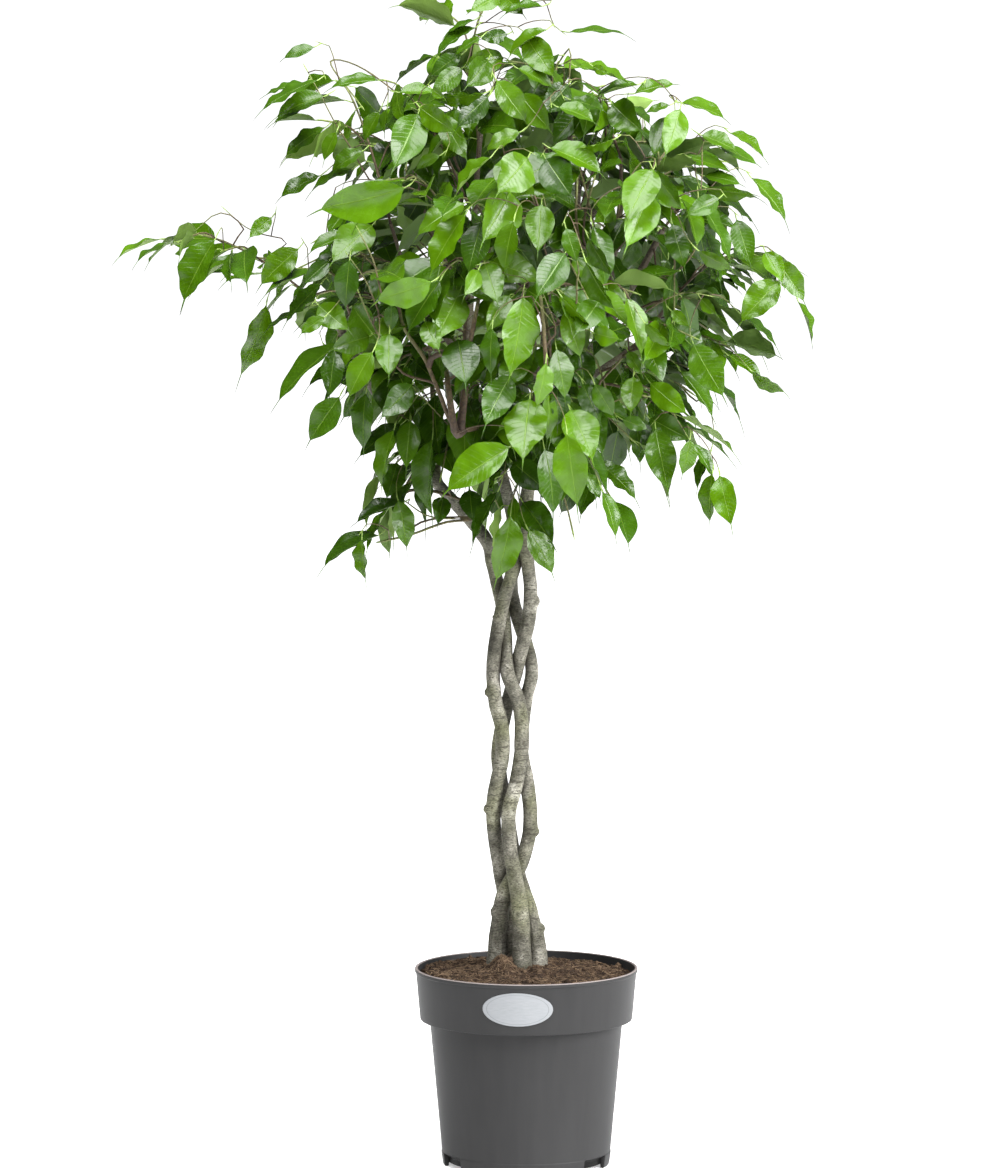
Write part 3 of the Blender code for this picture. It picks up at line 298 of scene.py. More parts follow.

# Leaves on the crown's face as the photograph shows them, millimetres: where the blade's base and its tip
# are seen (across, height, across, height), how wide it is seen, and how light it is seen in hundredths,
# which paints its own tone and the light and shade on it together
FRONT_LEAVES = (
    (-198, 1053, -231, 1045, 11, 35), (-208, 1020, -250, 1012, 9, 40), (-203, 1003, -238, 985, 15, 40),
    (-114, 922, -201, 893, 39, 95), (-144, 887, -184, 854, 31, 70), (-57, 897, -98, 842, 21, 85),
    (-89, 834, -145, 813, 24, 95), (-101, 991, -122, 938, 34, 45), (-99, 997, -66, 971, 23, 75),
    (-213, 865, -254, 829, 24, 70), (-238, 894, -261, 875, 16, 90), (-188, 978, -233, 954, 12, 45),
    (-153, 956, -187, 937, 15, 50), (-189, 1007, -235, 995, 17, 45), (-193, 933, -236, 914, 13, 45),
    (-165, 854, -171, 805, 23, 20), (-15, 918, -40, 872, 36, 80), (18, 949, 43, 913, 32, 15),
    (22, 959, 78, 939, 17, 60), (81, 967, 47, 955, 9, 80), (-6, 974, -43, 958, 13, 70),
    (-28, 1022, 3, 979, 24, 65), (-6, 1009, 24, 973, 24, 60), (-12, 890, -26, 840, 21, 60),
    (80, 1000, 107, 973, 32, 50), (143, 995, 131, 950, 25, 90), (118, 939, 90, 892, 34, 75),
    (114, 917, 97, 865, 34, 95), (136, 888, 148, 845, 24, 30), (179, 912, 148, 895, 19, 40),
    (168, 922, 217, 912, 13, 70), (161, 863, 195, 842, 13, 70), (223, 862, 240, 833, 19, 85),
    (234, 854, 264, 812, 24, 60), (236, 835, 196, 795, 28, 70), (190, 973, 229, 952, 10, 65),
    (210, 931, 252, 892, 12, 55), (144, 1001, 192, 992, 8, 65), (-62, 826, -85, 779, 32, 85),
    (-45, 845, -57, 820, 17, 75), (-3, 820, -11, 738, 36, 90), (-128, 785, -130, 745, 25, 50),
    (-144, 768, -172, 724, 23, 70), (-194, 812, -167, 788, 24, 60), (-64, 780, -55, 738, 41, 20),
    (-81, 835, -117, 785, 26, 30), (-15, 746, -42, 700, 32, 30), (33, 820, 62, 788, 11, 95),
    (63, 786, 87, 779, 19, 95), (111, 795, 137, 769, 12, 75), (18, 758, 12, 713, 16, 85),
    (116, 739, 151, 706, 24, 85), (41, 714, 66, 667, 30, 85), (-16, 679, -84, 638, 34, 80),
    (-15, 614, -23, 545, 28, 90), (38, 691, 47, 618, 34, 85), (-13, 665, 20, 637, 28, 20),
    (2, 601, 30, 557, 21, 65), (-88, 686, -96, 606, 21, 45), (-109, 704, -112, 658, 24, 50),
    (-121, 664, -130, 629, 23, 35), (-120, 629, -108, 579, 23, 55), (-78, 632, -83, 606, 19, 35),
    (-53, 639, -51, 609, 23, 15), (-27, 637, -58, 582, 12, 25), (116, 706, 155, 685, 23, 40),
    (153, 686, 148, 649, 15, 60), (155, 682, 181, 650, 11, 40), (171, 672, 155, 636, 12, 35),
    (181, 652, 192, 603, 26, 85), (47, 684, 84, 633, 13, 25), (56, 654, 72, 629, 13, 45),
    (71, 637, 90, 591, 14, 50), (156, 776, 185, 721, 30, 50), (144, 750, 183, 705, 17, 45),
    (189, 765, 226, 744, 12, 60), (211, 750, 244, 726, 11, 75), (90, 705, 116, 695, 13, 40),
    (200, 804, 243, 775, 8, 35), (254, 815, 274, 775, 8, 55), (163, 818, 178, 802, 11, 70),
    (-291, 873, -329, 812, 26, 50), (-243, 812, -263, 736, 23, 85), (-192, 832, -232, 795, 17, 30),
    (-189, 801, -214, 785, 13, 60), (-175, 776, -248, 726, 13, 40), (-175, 726, -207, 680, 26, 40),
    (-150, 729, -158, 671, 21, 35), (-124, 695, -144, 637, 17, 65), (-118, 700, -165, 672, 17, 15),
    (-179, 769, -186, 724, 23, 25), (-95, 797, -82, 769, 21, 60), (-126, 813, -127, 785, 13, 15),
    (-32, 790, -37, 743, 19, 30), (69, 818, 47, 784, 28, 40), (28, 771, 38, 720, 21, 50),
    (50, 769, 55, 731, 26, 15), (28, 738, 32, 695, 17, 10), (53, 738, 69, 701, 23, 25),
    (-139, 596, -201, 573, 13, 30), (-154, 592, -154, 550, 13, 60), (-117, 626, -167, 611, 11, 20),
    (-25, 1101, -54, 1086, 19, 75), (14, 1091, -27, 1087, 8, 40), (-18, 1065, -44, 1060, 15, 25),
    (-48, 1071, -92, 1048, 10, 35), (-43, 1062, -72, 1046, 8, 45), (-49, 1078, -80, 1067, 7, 35),
    (18, 1069, -25, 1048, 12, 70), (-8, 1033, 30, 1016, 13, 55), (47, 1035, 105, 1023, 12, 65),
    (62, 1035, 77, 1027, 9, 80), (40, 1067, 100, 1075, 7, 45), (103, 1018, 58, 1010, 8, 40),
    (101, 1010, 142, 1024, 10, 60), (41, 1004, 78, 996, 10, 35), (39, 1018, 13, 990, 23, 20),
    (-60, 1033, -92, 1009, 21, 50), (-61, 1046, -95, 1026, 17, 25), (-88, 1014, -76, 1005, 9, 80),
    (-40, 1010, -92, 999, 9, 75), (-36, 1007, -67, 980, 23, 20), (133, 999, 107, 993, 8, 50),
    (30, 997, 69, 987, 13, 55), (163, 971, 202, 958, 15, 50), (180, 960, 221, 945, 9, 40),
    (153, 950, 196, 938, 12, 50), (166, 933, 205, 929, 10, 40), (196, 892, 211, 848, 24, 40),
    (166, 882, 186, 826, 15, 25), (36, 861, 8, 818, 28, 25), (37, 884, 48, 852, 17, 40),
    (-195, 1022, -257, 999, 8, 40), (-177, 974, -192, 945, 11, 65), (-137, 993, -154, 963, 13, 55),
    (-130, 995, -134, 970, 8, 50), (-163, 939, -209, 922, 10, 45), (-165, 877, -209, 864, 12, 50),
    (-161, 858, -212, 846, 10, 20), (-184, 854, -210, 831, 17, 20), (-81, 952, -107, 940, 11, 60),
    (-34, 950, -73, 916, 9, 65), (-118, 1011, -81, 1014, 11, 60),
)
GLOSSY_LEAVES = (
    (1, 950, -25, 916, 36, 70), (14, 906, 10, 860, 27, 60), (-42, 890, -55, 840, 26, 30),
    (118, 939, 145, 896, 21, 50), (-147, 783, -184, 772, 25, 55), (36, 807, 53, 760, 23, 75),
    (56, 852, 80, 801, 17, 50), (58, 875, 80, 835, 13, 50), (93, 819, 114, 762, 21, 70),
    (95, 769, 108, 746, 13, 60), (100, 745, 97, 712, 21, 70), (3, 724, -5, 666, 41, 75),
    (-3, 627, 28, 587, 28, 30), (121, 696, 132, 635, 30, 50), (174, 654, 167, 604, 17, 60),
    (17, 677, 34, 611, 26, 35), (135, 807, 153, 792, 12, 70), (-107, 738, -134, 705, 26, 25),
    (64, 738, 83, 705, 17, 45), (20, 729, 25, 681, 15, 60), (0, 1062, 25, 1024, 26, 65),
    (-36, 1041, -55, 1014, 24, 50), (136, 988, 116, 950, 24, 45), (62, 886, 81, 826, 23, 30),
)

# Twigs and stretches of limb seen between the leaves, millimetres: radius, then places (across, height)
FRONT_TWIGS = (
    (1.0, ((-2, 928), (9, 905))), (1.0, ((2, 930), (11, 904))), (0.6, ((-8, 905), (3, 900), (7, 902))),
    (1.7, ((47, 922), (46, 899), (48, 877))), (1.3, ((62, 926), (55, 899), (53, 880))),
    (1.2, ((45, 858), (49, 845), (47, 834), (47, 818))), (0.6, ((-18, 841), (-2, 838))),
    (2.4, ((-119, 811), (-115, 793), (-107, 779), (-95, 762), (-87, 743), (-79, 724), (-75, 712))),
    (0.7, ((-100, 730), (-115, 709))), (0.8, ((-100, 729), (-87, 715), (-75, 702))),
    (1.2, ((-154, 818), (-148, 804), (-139, 786), (-133, 775), (-122, 756))),
    (2.6, ((-46, 811), (-49, 795), (-52, 780))), (2.2, ((-55, 809), (-57, 794), (-58, 780))),
    (4.2, ((-58, 728), (-60, 711), (-62, 694))), (3.6, ((-72, 728), (-70, 712), (-67, 694))),
    (1.6, ((-47, 611), (-72, 609), (-86, 605), (-107, 597), (-128, 592))),
    (1.0, ((-53, 612), (-77, 612), (-94, 615), (-109, 625))),
    (2.4, ((14, 814), (16, 796), (17, 779), (18, 763))), (1.7, ((18, 801), (21, 784), (22, 769))),
    (0.7, ((9, 816), (22, 799))), (0.7, ((16, 822), (26, 797))), (1.3, ((64, 762), (71, 745), (75, 728))),
    (1.4, ((90, 763), (71, 743))),
    (0.8, ((-203, 1029), (-192, 1009), (-178, 982), (-163, 958), (-150, 935))),
    (0.7, ((-278, 899), (-263, 886), (-248, 879), (-229, 875))),
    (0.8, ((-302, 888), (-291, 897), (-279, 898), (-268, 890))), (1.2, ((17, 908), (20, 892), (17, 875))),
    (1.0, ((-154, 877), (-143, 854), (-137, 829))), (0.8, ((-163, 854), (-150, 835), (-141, 814))),
    (0.8, ((107, 803), (127, 816), (148, 824), (165, 822))), (0.8, ((78, 720), (99, 728), (116, 726))),
)
TWIG_DEPTH = 0.45
TWIG_DROP = 22
TWIG_RISE_COST = 4
TWIG_LEAVING = 0.4
TWIG_MOST_REACH = 0.7
TWIG_TAIL = 2
TWIG_TAPER = (1.1, 0.6)
SIGHT_REACH = 420
SIGHT_START = 2.5
SIGHT_OFFSET = 3
FACE_DEPTH = 0.62
FACE_STEP = 2.5
FACE_CLEARANCE = 1.2
FRONT_LIMIT = -239
FACE_TRIES = 16
MOST_LEAN = 1.3
LEAST_TURN = 0.30
BREADTHS = (0.72, 1.35)
SHEEN_TURN = 0.85
PLAIN_LIGHT = 70
PLAIN_TURN = 0.28
FACE_STALK = {"blade": 0.80, "toward": 0.45, "down": 0.20}
HOLDING_RADII = (0.75, 0.55)
HOLDING_KNEE = 0.35
HOLDING_RISE = 0.22
HOLDING_LEAVING = 0.3
HOLDING_RISE_COST = 0.6
HOLDING_PLACES = 8
HOLDING_SPACING = 3
HOLDING_SHORT = 12
HOLDING_ENDS = (4, 3)
HOLDING_CLEARANCE = 0.2

# The crown's middle and half sizes, and how far the added leaves may reach, millimetres: height, then left
# and right of the axis, and the share of their mean that is the reach in depth
CROWN_MIDDLE = np.array([0, 0, 850])
CROWN_HALVES = (260, 210, 240)
CROWN_REACH = ((560, 40, 20), (592, 60, 60), (648, 120, 110), (705, 195, 165), (761, 235, 210),
               (837, 225, 240), (912, 205, 225), (988, 175, 170), (1026, 105, 105), (1082, 45, 20))
CROWN_DEPTH = 0.95

# Leaves on the far side, where the camera would see through the crown's middle, millimetres
FILL_MIDDLE = np.array([-4, 0, 815])
FILL_REACH = (185, 190)
FILL_STEP = 6
FILL_LENGTHS = (40, 58)
FILL_DEPTHS = (10, 110)
FILL_SLANTS = (0.8, 0.4)
FILL_ROLL = 0.7
FILL_STALK = 0.5
# The far leaves are kept dark: painted shade inside the crown, over their own deep green
FILL_LIGHTS = (0.02, 0.45)
FILL_TRIES = 8
FILL_NARROW = 0.85
FILL_SEED = 70000

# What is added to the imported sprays: leaves between theirs, more side twigs, and short twigs in the crown
BETWEEN_LEAVES = (0.28, 0.51, 0.72, 0.91)
BETWEEN_SIDE_LEAVES = (0.30, 0.80)
MORE_SIDE_TWIGS = (0.34, 0.72)
MORE_SIDE_LEAVES = (0.50, 0.76, 1.0)
MORE_SEED = 20000
SLENDER = (0.58, 1.0)
SLENDER_SEED = 60000
INNER_TWIGS = 84
INNER_LENGTHS = (70, 165)
INNER_THICKER = 1.3
INNER_RISE = 0.3
INNER_SWINGS = (30, 0.35)
INNER_LEAVES = (0.45, 0.60, 0.74, 0.88, 1.0)
INNER_SEED = 40000
FINE_TWIG_SIDES = 8
FINE_TWIG_STEP = 9
FINE_TWIG_SHARE = 0.78
THICKEST_TWIG = 2.6
BUD_LENGTH = 7
BUD_MARKS = np.array([0.35, 0.75, 1.0])
BUD_TAPER = np.array([0.95, 0.5, 0.1])
BUD_SHARES = (1.03, 1.06, 1.1)
NODE_SWELL = 0.30
NODE_REACH = 4.0

# Fine leaves: stations along the petiole and blade, the section's loop as shares of the half width, and the
# ranges that each leaf's own shape is drawn from
PETIOLE_MARKS = np.array([0.0, 0.25, 0.5, 0.75])
BLADE_MARKS = np.array([0, .03, .07, .12, .17, .22, .28, .34, .40, .46, .52, .58, .64, .70, .75, .80, .84,
                        .88, .94, 1])
BODY_END = 0.84
DRIP_WIDTH = 0.13
TOP_MARKS = np.array([-1, -.58, 0, .58, 1])
UNDER_MARKS = np.array([.58, 0, -.58])
PETIOLE_RADIUS = 0.55
LEAF_THICKNESS = 0.36
MARGIN_ANGLE = math.radians(110)
RIB_DEPTH = 0.35
TIP_RADIUS = 0.12
LEAF_DRAWS = {
    "arch": (0.10, 0.19), "sway": (-0.05, 0.05), "hang": (0.03, 0.14), "twist": (-0.35, 0.35),
    "width": (0.90, 1.08), "wobbles": (2.5, 4.5), "fold": (0.12, 0.55), "swell": (0.05, 0.35),
    "wave": (0.010, 0.036), "waves": (2.2, 3.8), "phase": (0, 6.3), "other side": (0.2, 1.6),
}
HANG_START = 0.7
WOBBLE = 0.022
WAVE_START = 0.25
WAVE_FADE = (0.66, 0.84)
FOLIAGE_GROUPS = 16
FOLIAGE_SEED = 700
# Painted light and shade in the leaves' lightness: further out and higher is lighter, with a random share of
# their own tone
PAINTED_LIGHT_OUT = 0.40
PAINTED_LIGHT_START = 0.25
PAINTED_LIGHT_UP = 0.10
TINT_SPREAD = (1.3, 2.6)
TINT_RANDOM = 0.75
TINT_SEED = 300


def unit(vector):
    """The vector at length 1."""
    return vector / np.linalg.norm(vector)


def units(vectors):
    """Each of the vectors in an array at length 1."""
    return vectors / np.linalg.norm(vectors, axis=-1, keepdims=True)


def lerp(low, high, share):
    """The value that lies `share` of the way from low to high."""
    return low + (high - low) * share


def smoothstep(low, high, value):
    """0 below low, 1 above high, and 3t^2 - 2t^3 of the share t between them."""
    t = np.clip((value - low) / (high - low), 0, 1)
    return t * t * (3 - 2 * t)


def smooth_path(points, step):
    """A Catmull-Rom curve through the points, read at even steps of about `step` along it."""
    points = np.asarray(points, float)
    ends = np.vstack([2 * points[0] - points[1], points, 2 * points[-1] - points[-2]])
    t = np.linspace(0, 1, CURVE_POINTS, endpoint=False)[:, None]
    runs = [0.5 * (2 * b + (c - a) * t + (2 * a - 5 * b + 4 * c - d) * t ** 2
                   + (3 * b - a - 3 * c + d) * t ** 3)
            for a, b, c, d in zip(ends, ends[1:], ends[2:], ends[3:])]
    curve = np.vstack(runs + [points[-1:]])
    along = lengths_along(curve)
    count = max(2, round(along[-1] / step) + 1)
    marks = np.linspace(0, along[-1], count)
    return np.column_stack([np.interp(marks, along, curve[:, axis]) for axis in range(3)])


def stem_radius(height):
    """A stem's radius, which falls with height."""
    heights, radii = zip(*STEM_RADII)
    return np.interp(height, heights, radii)


def plait():
    """The four stems' centre lines: read at common heights, then pushed apart until none overlap."""
    plait_levels = np.arange(STEM_FOOT / MM, PLAIT_TOP, PLAIT_STEP)
    lines = []
    for keys in STEMS.values():
        keys = np.array(keys, float)
        above = np.arange(plait_levels[-1] + CROWN_STEP, keys[-1, 2], CROWN_STEP)
        levels = np.concatenate([plait_levels, above, keys[-1:, 2]])
        fine = np.arange(levels[0], levels[-1] + 1, KEY_STEP)
        window = np.hanning(SMOOTHED_KEYS) / np.hanning(SMOOTHED_KEYS).sum()
        across = [np.convolve(np.pad(np.interp(fine, keys[:, 2], keys[:, axis]), SMOOTHED_KEYS // 2,
                                     mode="edge"), window, mode="valid") for axis in range(2)]
        lines.append(np.column_stack([np.interp(levels, fine, across[0]), np.interp(levels, fine, across[1]),
                                      levels]))
    for _ in range(PUSH_ROUNDS):
        if not push_apart(lines):
            break
    return dict(zip(STEMS, lines))


def push_apart(lines):
    """One round of moving the stems' points sideways where two stems are nearer than their radii."""
    mark = PUSH_MARKS[None, :, None]
    finer = [(line[:-1, None] * (1 - mark) + line[1:, None] * mark).reshape(-1, 3) for line in lines]
    moved = False
    shifts = [np.zeros((len(line), 3)) for line in lines]
    for i in range(len(lines)):
        for j in range(len(lines)):
            if i == j:
                continue
            apart = finer[i][:, None, :] - finer[j][None, :, :]
            distance = np.linalg.norm(apart, axis=2)
            nearest = distance.argmin(axis=1)
            rows = np.arange(len(nearest))
            need = stem_radius(finer[i][:, 2]) + stem_radius(finer[j][nearest, 2]) + STEM_GAP
            short = np.clip(need - distance[rows, nearest], 0, None)
            away = apart[rows, nearest]
            away[:, 2] = 0
            away /= np.linalg.norm(away, axis=1)[:, None] + 1e-9
            push = away * (short * PUSH_SHARE)[:, None]
            moved |= bool(short.max() > PUSH_ENOUGH)
            for k, share in enumerate(PUSH_MARKS):
                part = push[k::len(PUSH_MARKS)]
                shifts[i][:-1] += part * (1 - share) * 0.5
                shifts[i][1:] += part * share * 0.5
    for line, shift in zip(lines, shifts):
        line[:, :2] += shift[:, :2]
        line[line[:, 2] < SOIL_CROWN_Z / MM + UPRIGHT, :2] = line[3, :2]
    return moved


def limb_lines(stems):
    """Each limb's stem, centre line and radii, from inside its stem outwards."""
    limbs = []
    for stem, height, further in LIMBS:
        line = stems[stem]
        start = [np.interp(height, line[:, 2], line[:, axis]) for axis in range(2)] + [height]
        path = smooth_path([start, *further], LIMB_STEP)
        root = min(LIMB_ROOT_RADIUS, stem_radius(height) * LIMB_ROOT_SHARE)
        limbs.append((stem, path, np.linspace(root, LIMB_TIP_RADIUS, len(path))))
    return limbs


def wood_places(stems, limbs):
    """Every place on the crown's wood where a twig may root, and the lines that they were read from."""
    lines = [line[line[:, 2] > PLAIT_TOP - 10] for line in stems.values()]
    lines += [path for _, path, _ in limbs]
    return np.array([point for line in lines for point in smooth_path(line, WOOD_STEP)[2:]]), lines


def spray_bases(stems, limbs):
    """Where each spray leaves the wood.

    Every end of the wood carries the spray that wishes for a place nearest to it. Each other spray takes
    the free place nearest to its wish, which is halfway from its tip to the crown's heart.
    """
    places, lines = wood_places(stems, limbs)
    tips = np.array(SPRAY_TIPS, float)
    wishes = lerp(tips, np.array(HEART, float), WISH_SHARE) - (0, 0, WISH_DROP)
    bases = {}
    for line in lines:
        open_sprays = [k for k in range(len(tips)) if k not in bases]
        distance = np.linalg.norm(wishes[open_sprays] - line[-1], axis=1)
        bases[open_sprays[int(distance.argmin())]] = line[-1]
    free = np.ones(len(places), bool)
    for base in bases.values():
        free &= np.linalg.norm(places - base, axis=1) > BASE_SPACING
    for k, wish in enumerate(wishes):
        if k in bases:
            continue
        chosen = int((np.linalg.norm(places - wish, axis=1) + 1000.0 * ~free).argmin())
        free &= np.linalg.norm(places - places[chosen], axis=1) > BASE_SPACING
        bases[k] = places[chosen]
    return [bases[k] for k in range(len(tips))]


def bezier(p0, p1, p2, p3, count):
    """Points at even parameters of a cubic Bezier curve."""
    t = np.linspace(0, 1, count)[:, None]
    return (1 - t) ** 3 * p0 + 3 * (1 - t) ** 2 * t * p1 + 3 * (1 - t) * t ** 2 * p2 + t ** 3 * p3


def lengths_along(path):
    """How far along the path each of its points lies."""
    return np.concatenate([[0], np.cumsum(np.linalg.norm(np.diff(path, axis=0), axis=1))])


def at(path, share):
    """The point and the direction of a path at a share of its length."""
    along = lengths_along(path)
    mark = share * along[-1]
    point = np.array([np.interp(mark, along, path[:, axis]) for axis in range(3)])
    row = min(int(np.searchsorted(along, mark, side="right")) - 1, len(path) - 2)
    return point, unit(path[row + 1] - path[row])


def twig_path(base, tip, rng, swing):
    """A twig that rises out of the wood, arches over and droops to its tip."""
    reach = np.linalg.norm(tip - base)
    bends = rng.normal(0, 1, (2, 3)) * swing * reach
    knees = [lerp(base, tip, share) + (0, 0, rise * reach) + bend
             for (share, rise), bend in zip(TWIG_KNEES, bends)]
    return bezier(base, *knees, tip, TWIG_SEGMENTS + 1)


def side_twig_path(main, share, side, rng, swing):
    """A shorter twig that leaves a main twig to one side and droops."""
    start, forward = at(main, share)
    across = unit(np.cross(forward, (0, 0, 1))) * side
    length = rng.uniform(*SIDE_LENGTHS)
    heading = unit(SIDE_WAY["forward"] * forward + SIDE_WAY["across"] * across + (0, 0, SIDE_WAY["up"])
                   + rng.normal(0, 1, 3) * swing)
    middle = start + heading * length * 0.5
    end = start + heading * length * SIDE_REACH - (0, 0, SIDE_DROOP * length)
    return bezier(start, lerp(start, middle, 0.7), middle, end, SIDE_SEGMENTS + 1)


def path_frames(path):
    """Unit vectors across and above a path at each of its points."""
    forward = units(np.gradient(path, axis=0))
    helper = np.array([0.36, 0.48, 0.8]) if abs(forward[0, 2]) < 0.9 else np.array([1.0, 0, 0])
    across = units(np.cross(forward, helper))
    return across, np.cross(forward, across)


def section(across, lift, sides):
    """Round sections: across cos a + lift sin a for as many equal angles a as there are sides."""
    angle = np.arange(sides)[:, None] * 2 * math.pi / sides
    return across[..., None, :] * np.cos(angle) + lift[..., None, :] * np.sin(angle)


def tube(path, radii, sides):
    """Vertices and triangles of a closed tube along a path, for testing what it would cross."""
    ring = section(*path_frames(path), sides)
    vertices = (path[:, None] + ring * np.asarray(radii)[:, None, None]).reshape(-1, 3)
    return vertices, loft_triangles(len(path), sides)


def loft_triangles(rings, sides):
    """Triangles of a closed loft: its wall, then a fan over each end ring."""
    ring = np.arange(rings - 1)[:, None] * sides
    here = np.arange(sides)
    there = (here + 1) % sides
    a, b, c, d = ring + here, ring + there, ring + sides + there, ring + sides + here
    wall = np.stack([a, b, c, a, c, d], axis=-1).reshape(-1, 3)
    last = (rings - 1) * sides
    caps = [(0, k + 1, k) for k in range(1, sides - 1)]
    caps += [(last, last + k, last + k + 1) for k in range(1, sides - 1)]
    return np.vstack([wall, caps])


def leaf_frame(root, forward, side, rng, swing):
    """A hanging leaf's petiole direction, blade direction and upward normal.

    The blade points along its twig, to its own side and down, and follows only a share of the twig's fall.
    Its top faces out of the crown and up, and only up near the crown's axis.
    """
    flat = np.array([root[0], root[1], 0.0])
    out = flat / (np.linalg.norm(flat) + UPRIGHT_FACES)
    across = np.cross(forward, (0, 0, 1)) * side
    level = forward * (1, 1, TWIG_FALL)
    down = rng.uniform(*BLADE_DROOPS)

    def mix(way):
        return (way["forward"] * level + way["across"] * across + way["out"] * out
                + rng.normal(0, 1, 3) * way["spread"])

    stalk = unit(mix(STALK_WAY))
    blade = unit(mix(BLADE_WAY) + (0, 0, -down) + rng.normal(0, 1, 3) * swing)
    face = unit(FACE_WAY["out"] * out + (0, 0, FACE_WAY["up"]))
    face = face + rng.normal(0, 1, 3) * (FACE_WAY["spread"] + swing)
    normal = unit(face - face.dot(blade) * blade)
    return stalk, blade, normal


def plain_leaf(root, leaf_ways, length, grow=0.0, broad=1.0):
    """Vertices and triangles of a leaf's simple solid, for testing what it would cross.

    Each section has the two true margins and the midrib's underside; grow fattens the leaf, broad widens it.
    """
    stalk, blade, normal = leaf_ways
    foot = root + stalk * PETIOLE
    sections = []
    across = unit(np.cross(stalk, normal))
    above = np.cross(across, stalk)
    half = PETIOLE_WIDTH / 2 * ROOT_SHARE + grow
    sections.append((root - across * half + above * half, root + across * half + above * half,
                     root - above * half))
    across = np.cross(blade, normal)
    for share, width in BLADE_STATIONS:
        middle = foot + blade * length * share - normal * (length * BLADE_ARCH * share ** 2 + grow)
        half = max(width * LEAF_WIDTH_SHARE * length * broad, PETIOLE_WIDTH / 2) + grow
        lift = normal * (half * BLADE_FOLD * 2 + BLADE_THICKNESS * 0.5 + 2 * grow)
        sections.append((middle - across * half + lift, middle + across * half + lift,
                         middle - normal * BLADE_THICKNESS * 0.5))
    tip = foot + blade * (length + grow) - normal * length * BLADE_ARCH
    vertices = np.array([point for section in sections for point in section] + [tip])
    wall = loft_triangles(len(sections), 3)[:-1]
    last = 3 * (len(sections) - 1)
    point = [(last + k, last + (k + 1) % 3, last + 3) for k in range(3)]
    return vertices, np.vstack([wall, point])


Leaf = namedtuple("Leaf", "root ways length broad light", defaults=(1.0, None))


class Crown:
    """What already stands in the crown, so that the next twig or leaf can be laid clear of it."""

    def __init__(self):
        self.groups = []

    def add(self, shapes):
        """Add one group of shapes as a search tree with its box."""
        tree, corners = search_tree(shapes)
        self.groups.append((tree, corners.min(axis=0), corners.max(axis=0)))

    def crosses(self, shape):
        """Whether the shape cuts anything in the crown."""
        low, high = shape[0].min(axis=0), shape[0].max(axis=0)
        near = [tree for tree, box_low, box_high in self.groups
                if (low <= box_high).all() and (high >= box_low).all()]
        if not near:
            return False
        own = search_tree([shape])[0]
        return any(own.overlap(tree) for tree in near)

    def standing_before(self, points, toward, sight=SIGHT_REACH):
        """How far the points must move towards the camera until nothing in the crown stands before them."""
        starts = points + toward * sight
        low, high = np.minimum(points, starts).min(axis=0), np.maximum(points, starts).max(axis=0)
        need = 0.0
        for tree, box_low, box_high in self.groups:
            if (low <= box_high).all() and (high >= box_low).all():
                distances = [tree.ray_cast(Vector(start), Vector(-toward), sight)[3] for start in starts]
                need = max([need] + [sight - found for found in distances if found is not None])
        return need


def search_tree(shapes):
    """A search tree over the triangles of several shapes, and their vertices."""
    starts = np.cumsum([0] + [len(vertices) for vertices, _ in shapes])
    vertices = np.vstack([vertices for vertices, _ in shapes])
    triangles = np.vstack([faces + start for (_, faces), start in zip(shapes, starts)])
    return BVHTree.FromPolygons(vertices.tolist(), triangles.tolist(), all_triangles=True), vertices


def beyond(path, radii, distance):
    """The stretch of a path, with its radii, that lies further than a distance from its start."""
    along = lengths_along(path)
    later = along > distance
    point, _ = at(path, distance / along[-1])
    return (np.vstack([point, path[later]]),
            np.concatenate([[np.interp(distance, along, radii)], radii[later]]))


def lay_twig(make, root_radius, crown):
    """The first of a few twigs that is clear of the crown, but for the wood that it roots in."""
    for attempt in range(TWIG_TRIES):
        path = make(TWIG_SWING * attempt)
        radii = np.linspace(root_radius, TWIG_TIP_RADIUS, len(path))
        for start in ROOT_REACH:
            clear_path, clear_radii = beyond(path, radii, start)
            if not crown.crosses(tube(clear_path, clear_radii + CLEARANCE, 6)):
                return path, radii
    return None


def grow_spray(index, base, tip, crown):
    """One spray: its twigs as (path, radii), and its leaves as (root, frame, length)."""
    side_rng = np.random.default_rng(SIDE_SEED + index)
    main_rng = np.random.default_rng(TWIG_SEED + index)
    main = lay_twig(lambda swing: twig_path(base, tip, main_rng, swing), TWIG_ROOT_RADIUS, crown)
    if main is None:
        return [], []
    side = 1 if index % 2 else -1
    branch = lay_twig(lambda swing: side_twig_path(main[0], SIDE_SHARE, side, side_rng, swing),
                      TWIG_TIP_RADIUS, crown)
    twigs = [twig for twig in (main, branch) if twig is not None]
    skipped = int(lengths_along(main[0])[-1] < SHORT_TWIG)
    buds = [(path, share, (-1) ** k * side)
            for (path, _), shares in zip(twigs, (MAIN_LEAVES[skipped:], SIDE_LEAVES))
            for k, share in enumerate(shares)]
    leaves = []
    own = Crown()
    own.add([tube(path, radii, 4) for path, radii in twigs])
    for bud, (path, share, turn) in enumerate(buds):
        placed = lay_leaf(path, share, turn, LEAF_SEEDS * index + bud, crown, own)
        if placed is not None:
            leaves.append(placed)
            own.add([plain_leaf(*placed)])
    return twigs, leaves


def lay_leaf(path, share, side, seed, crown, own):
    """The first of a few leaves at a bud that crosses neither the crown nor its own spray."""
    root, forward = at(path, share)
    rng = np.random.default_rng(seed)
    length = rng.uniform(*LEAF_LENGTHS)
    if share >= 1.0:
        root = root - forward * PETIOLE_WIDTH
        side = side * END_LEAF_TURN
    for attempt in range(LEAF_TRIES):
        ways = leaf_frame(root, forward, side, rng, TWIG_SWING + LEAF_SWING * attempt)
        fat = plain_leaf(root, ways, length, CLEARANCE)
        blade = (fat[0][3:], loft_triangles(len(BLADE_STATIONS), 3))
        if (own is None or not crown.crosses(fat)) and not (own or crown).crosses(blade):
            return root, ways, length
    return None


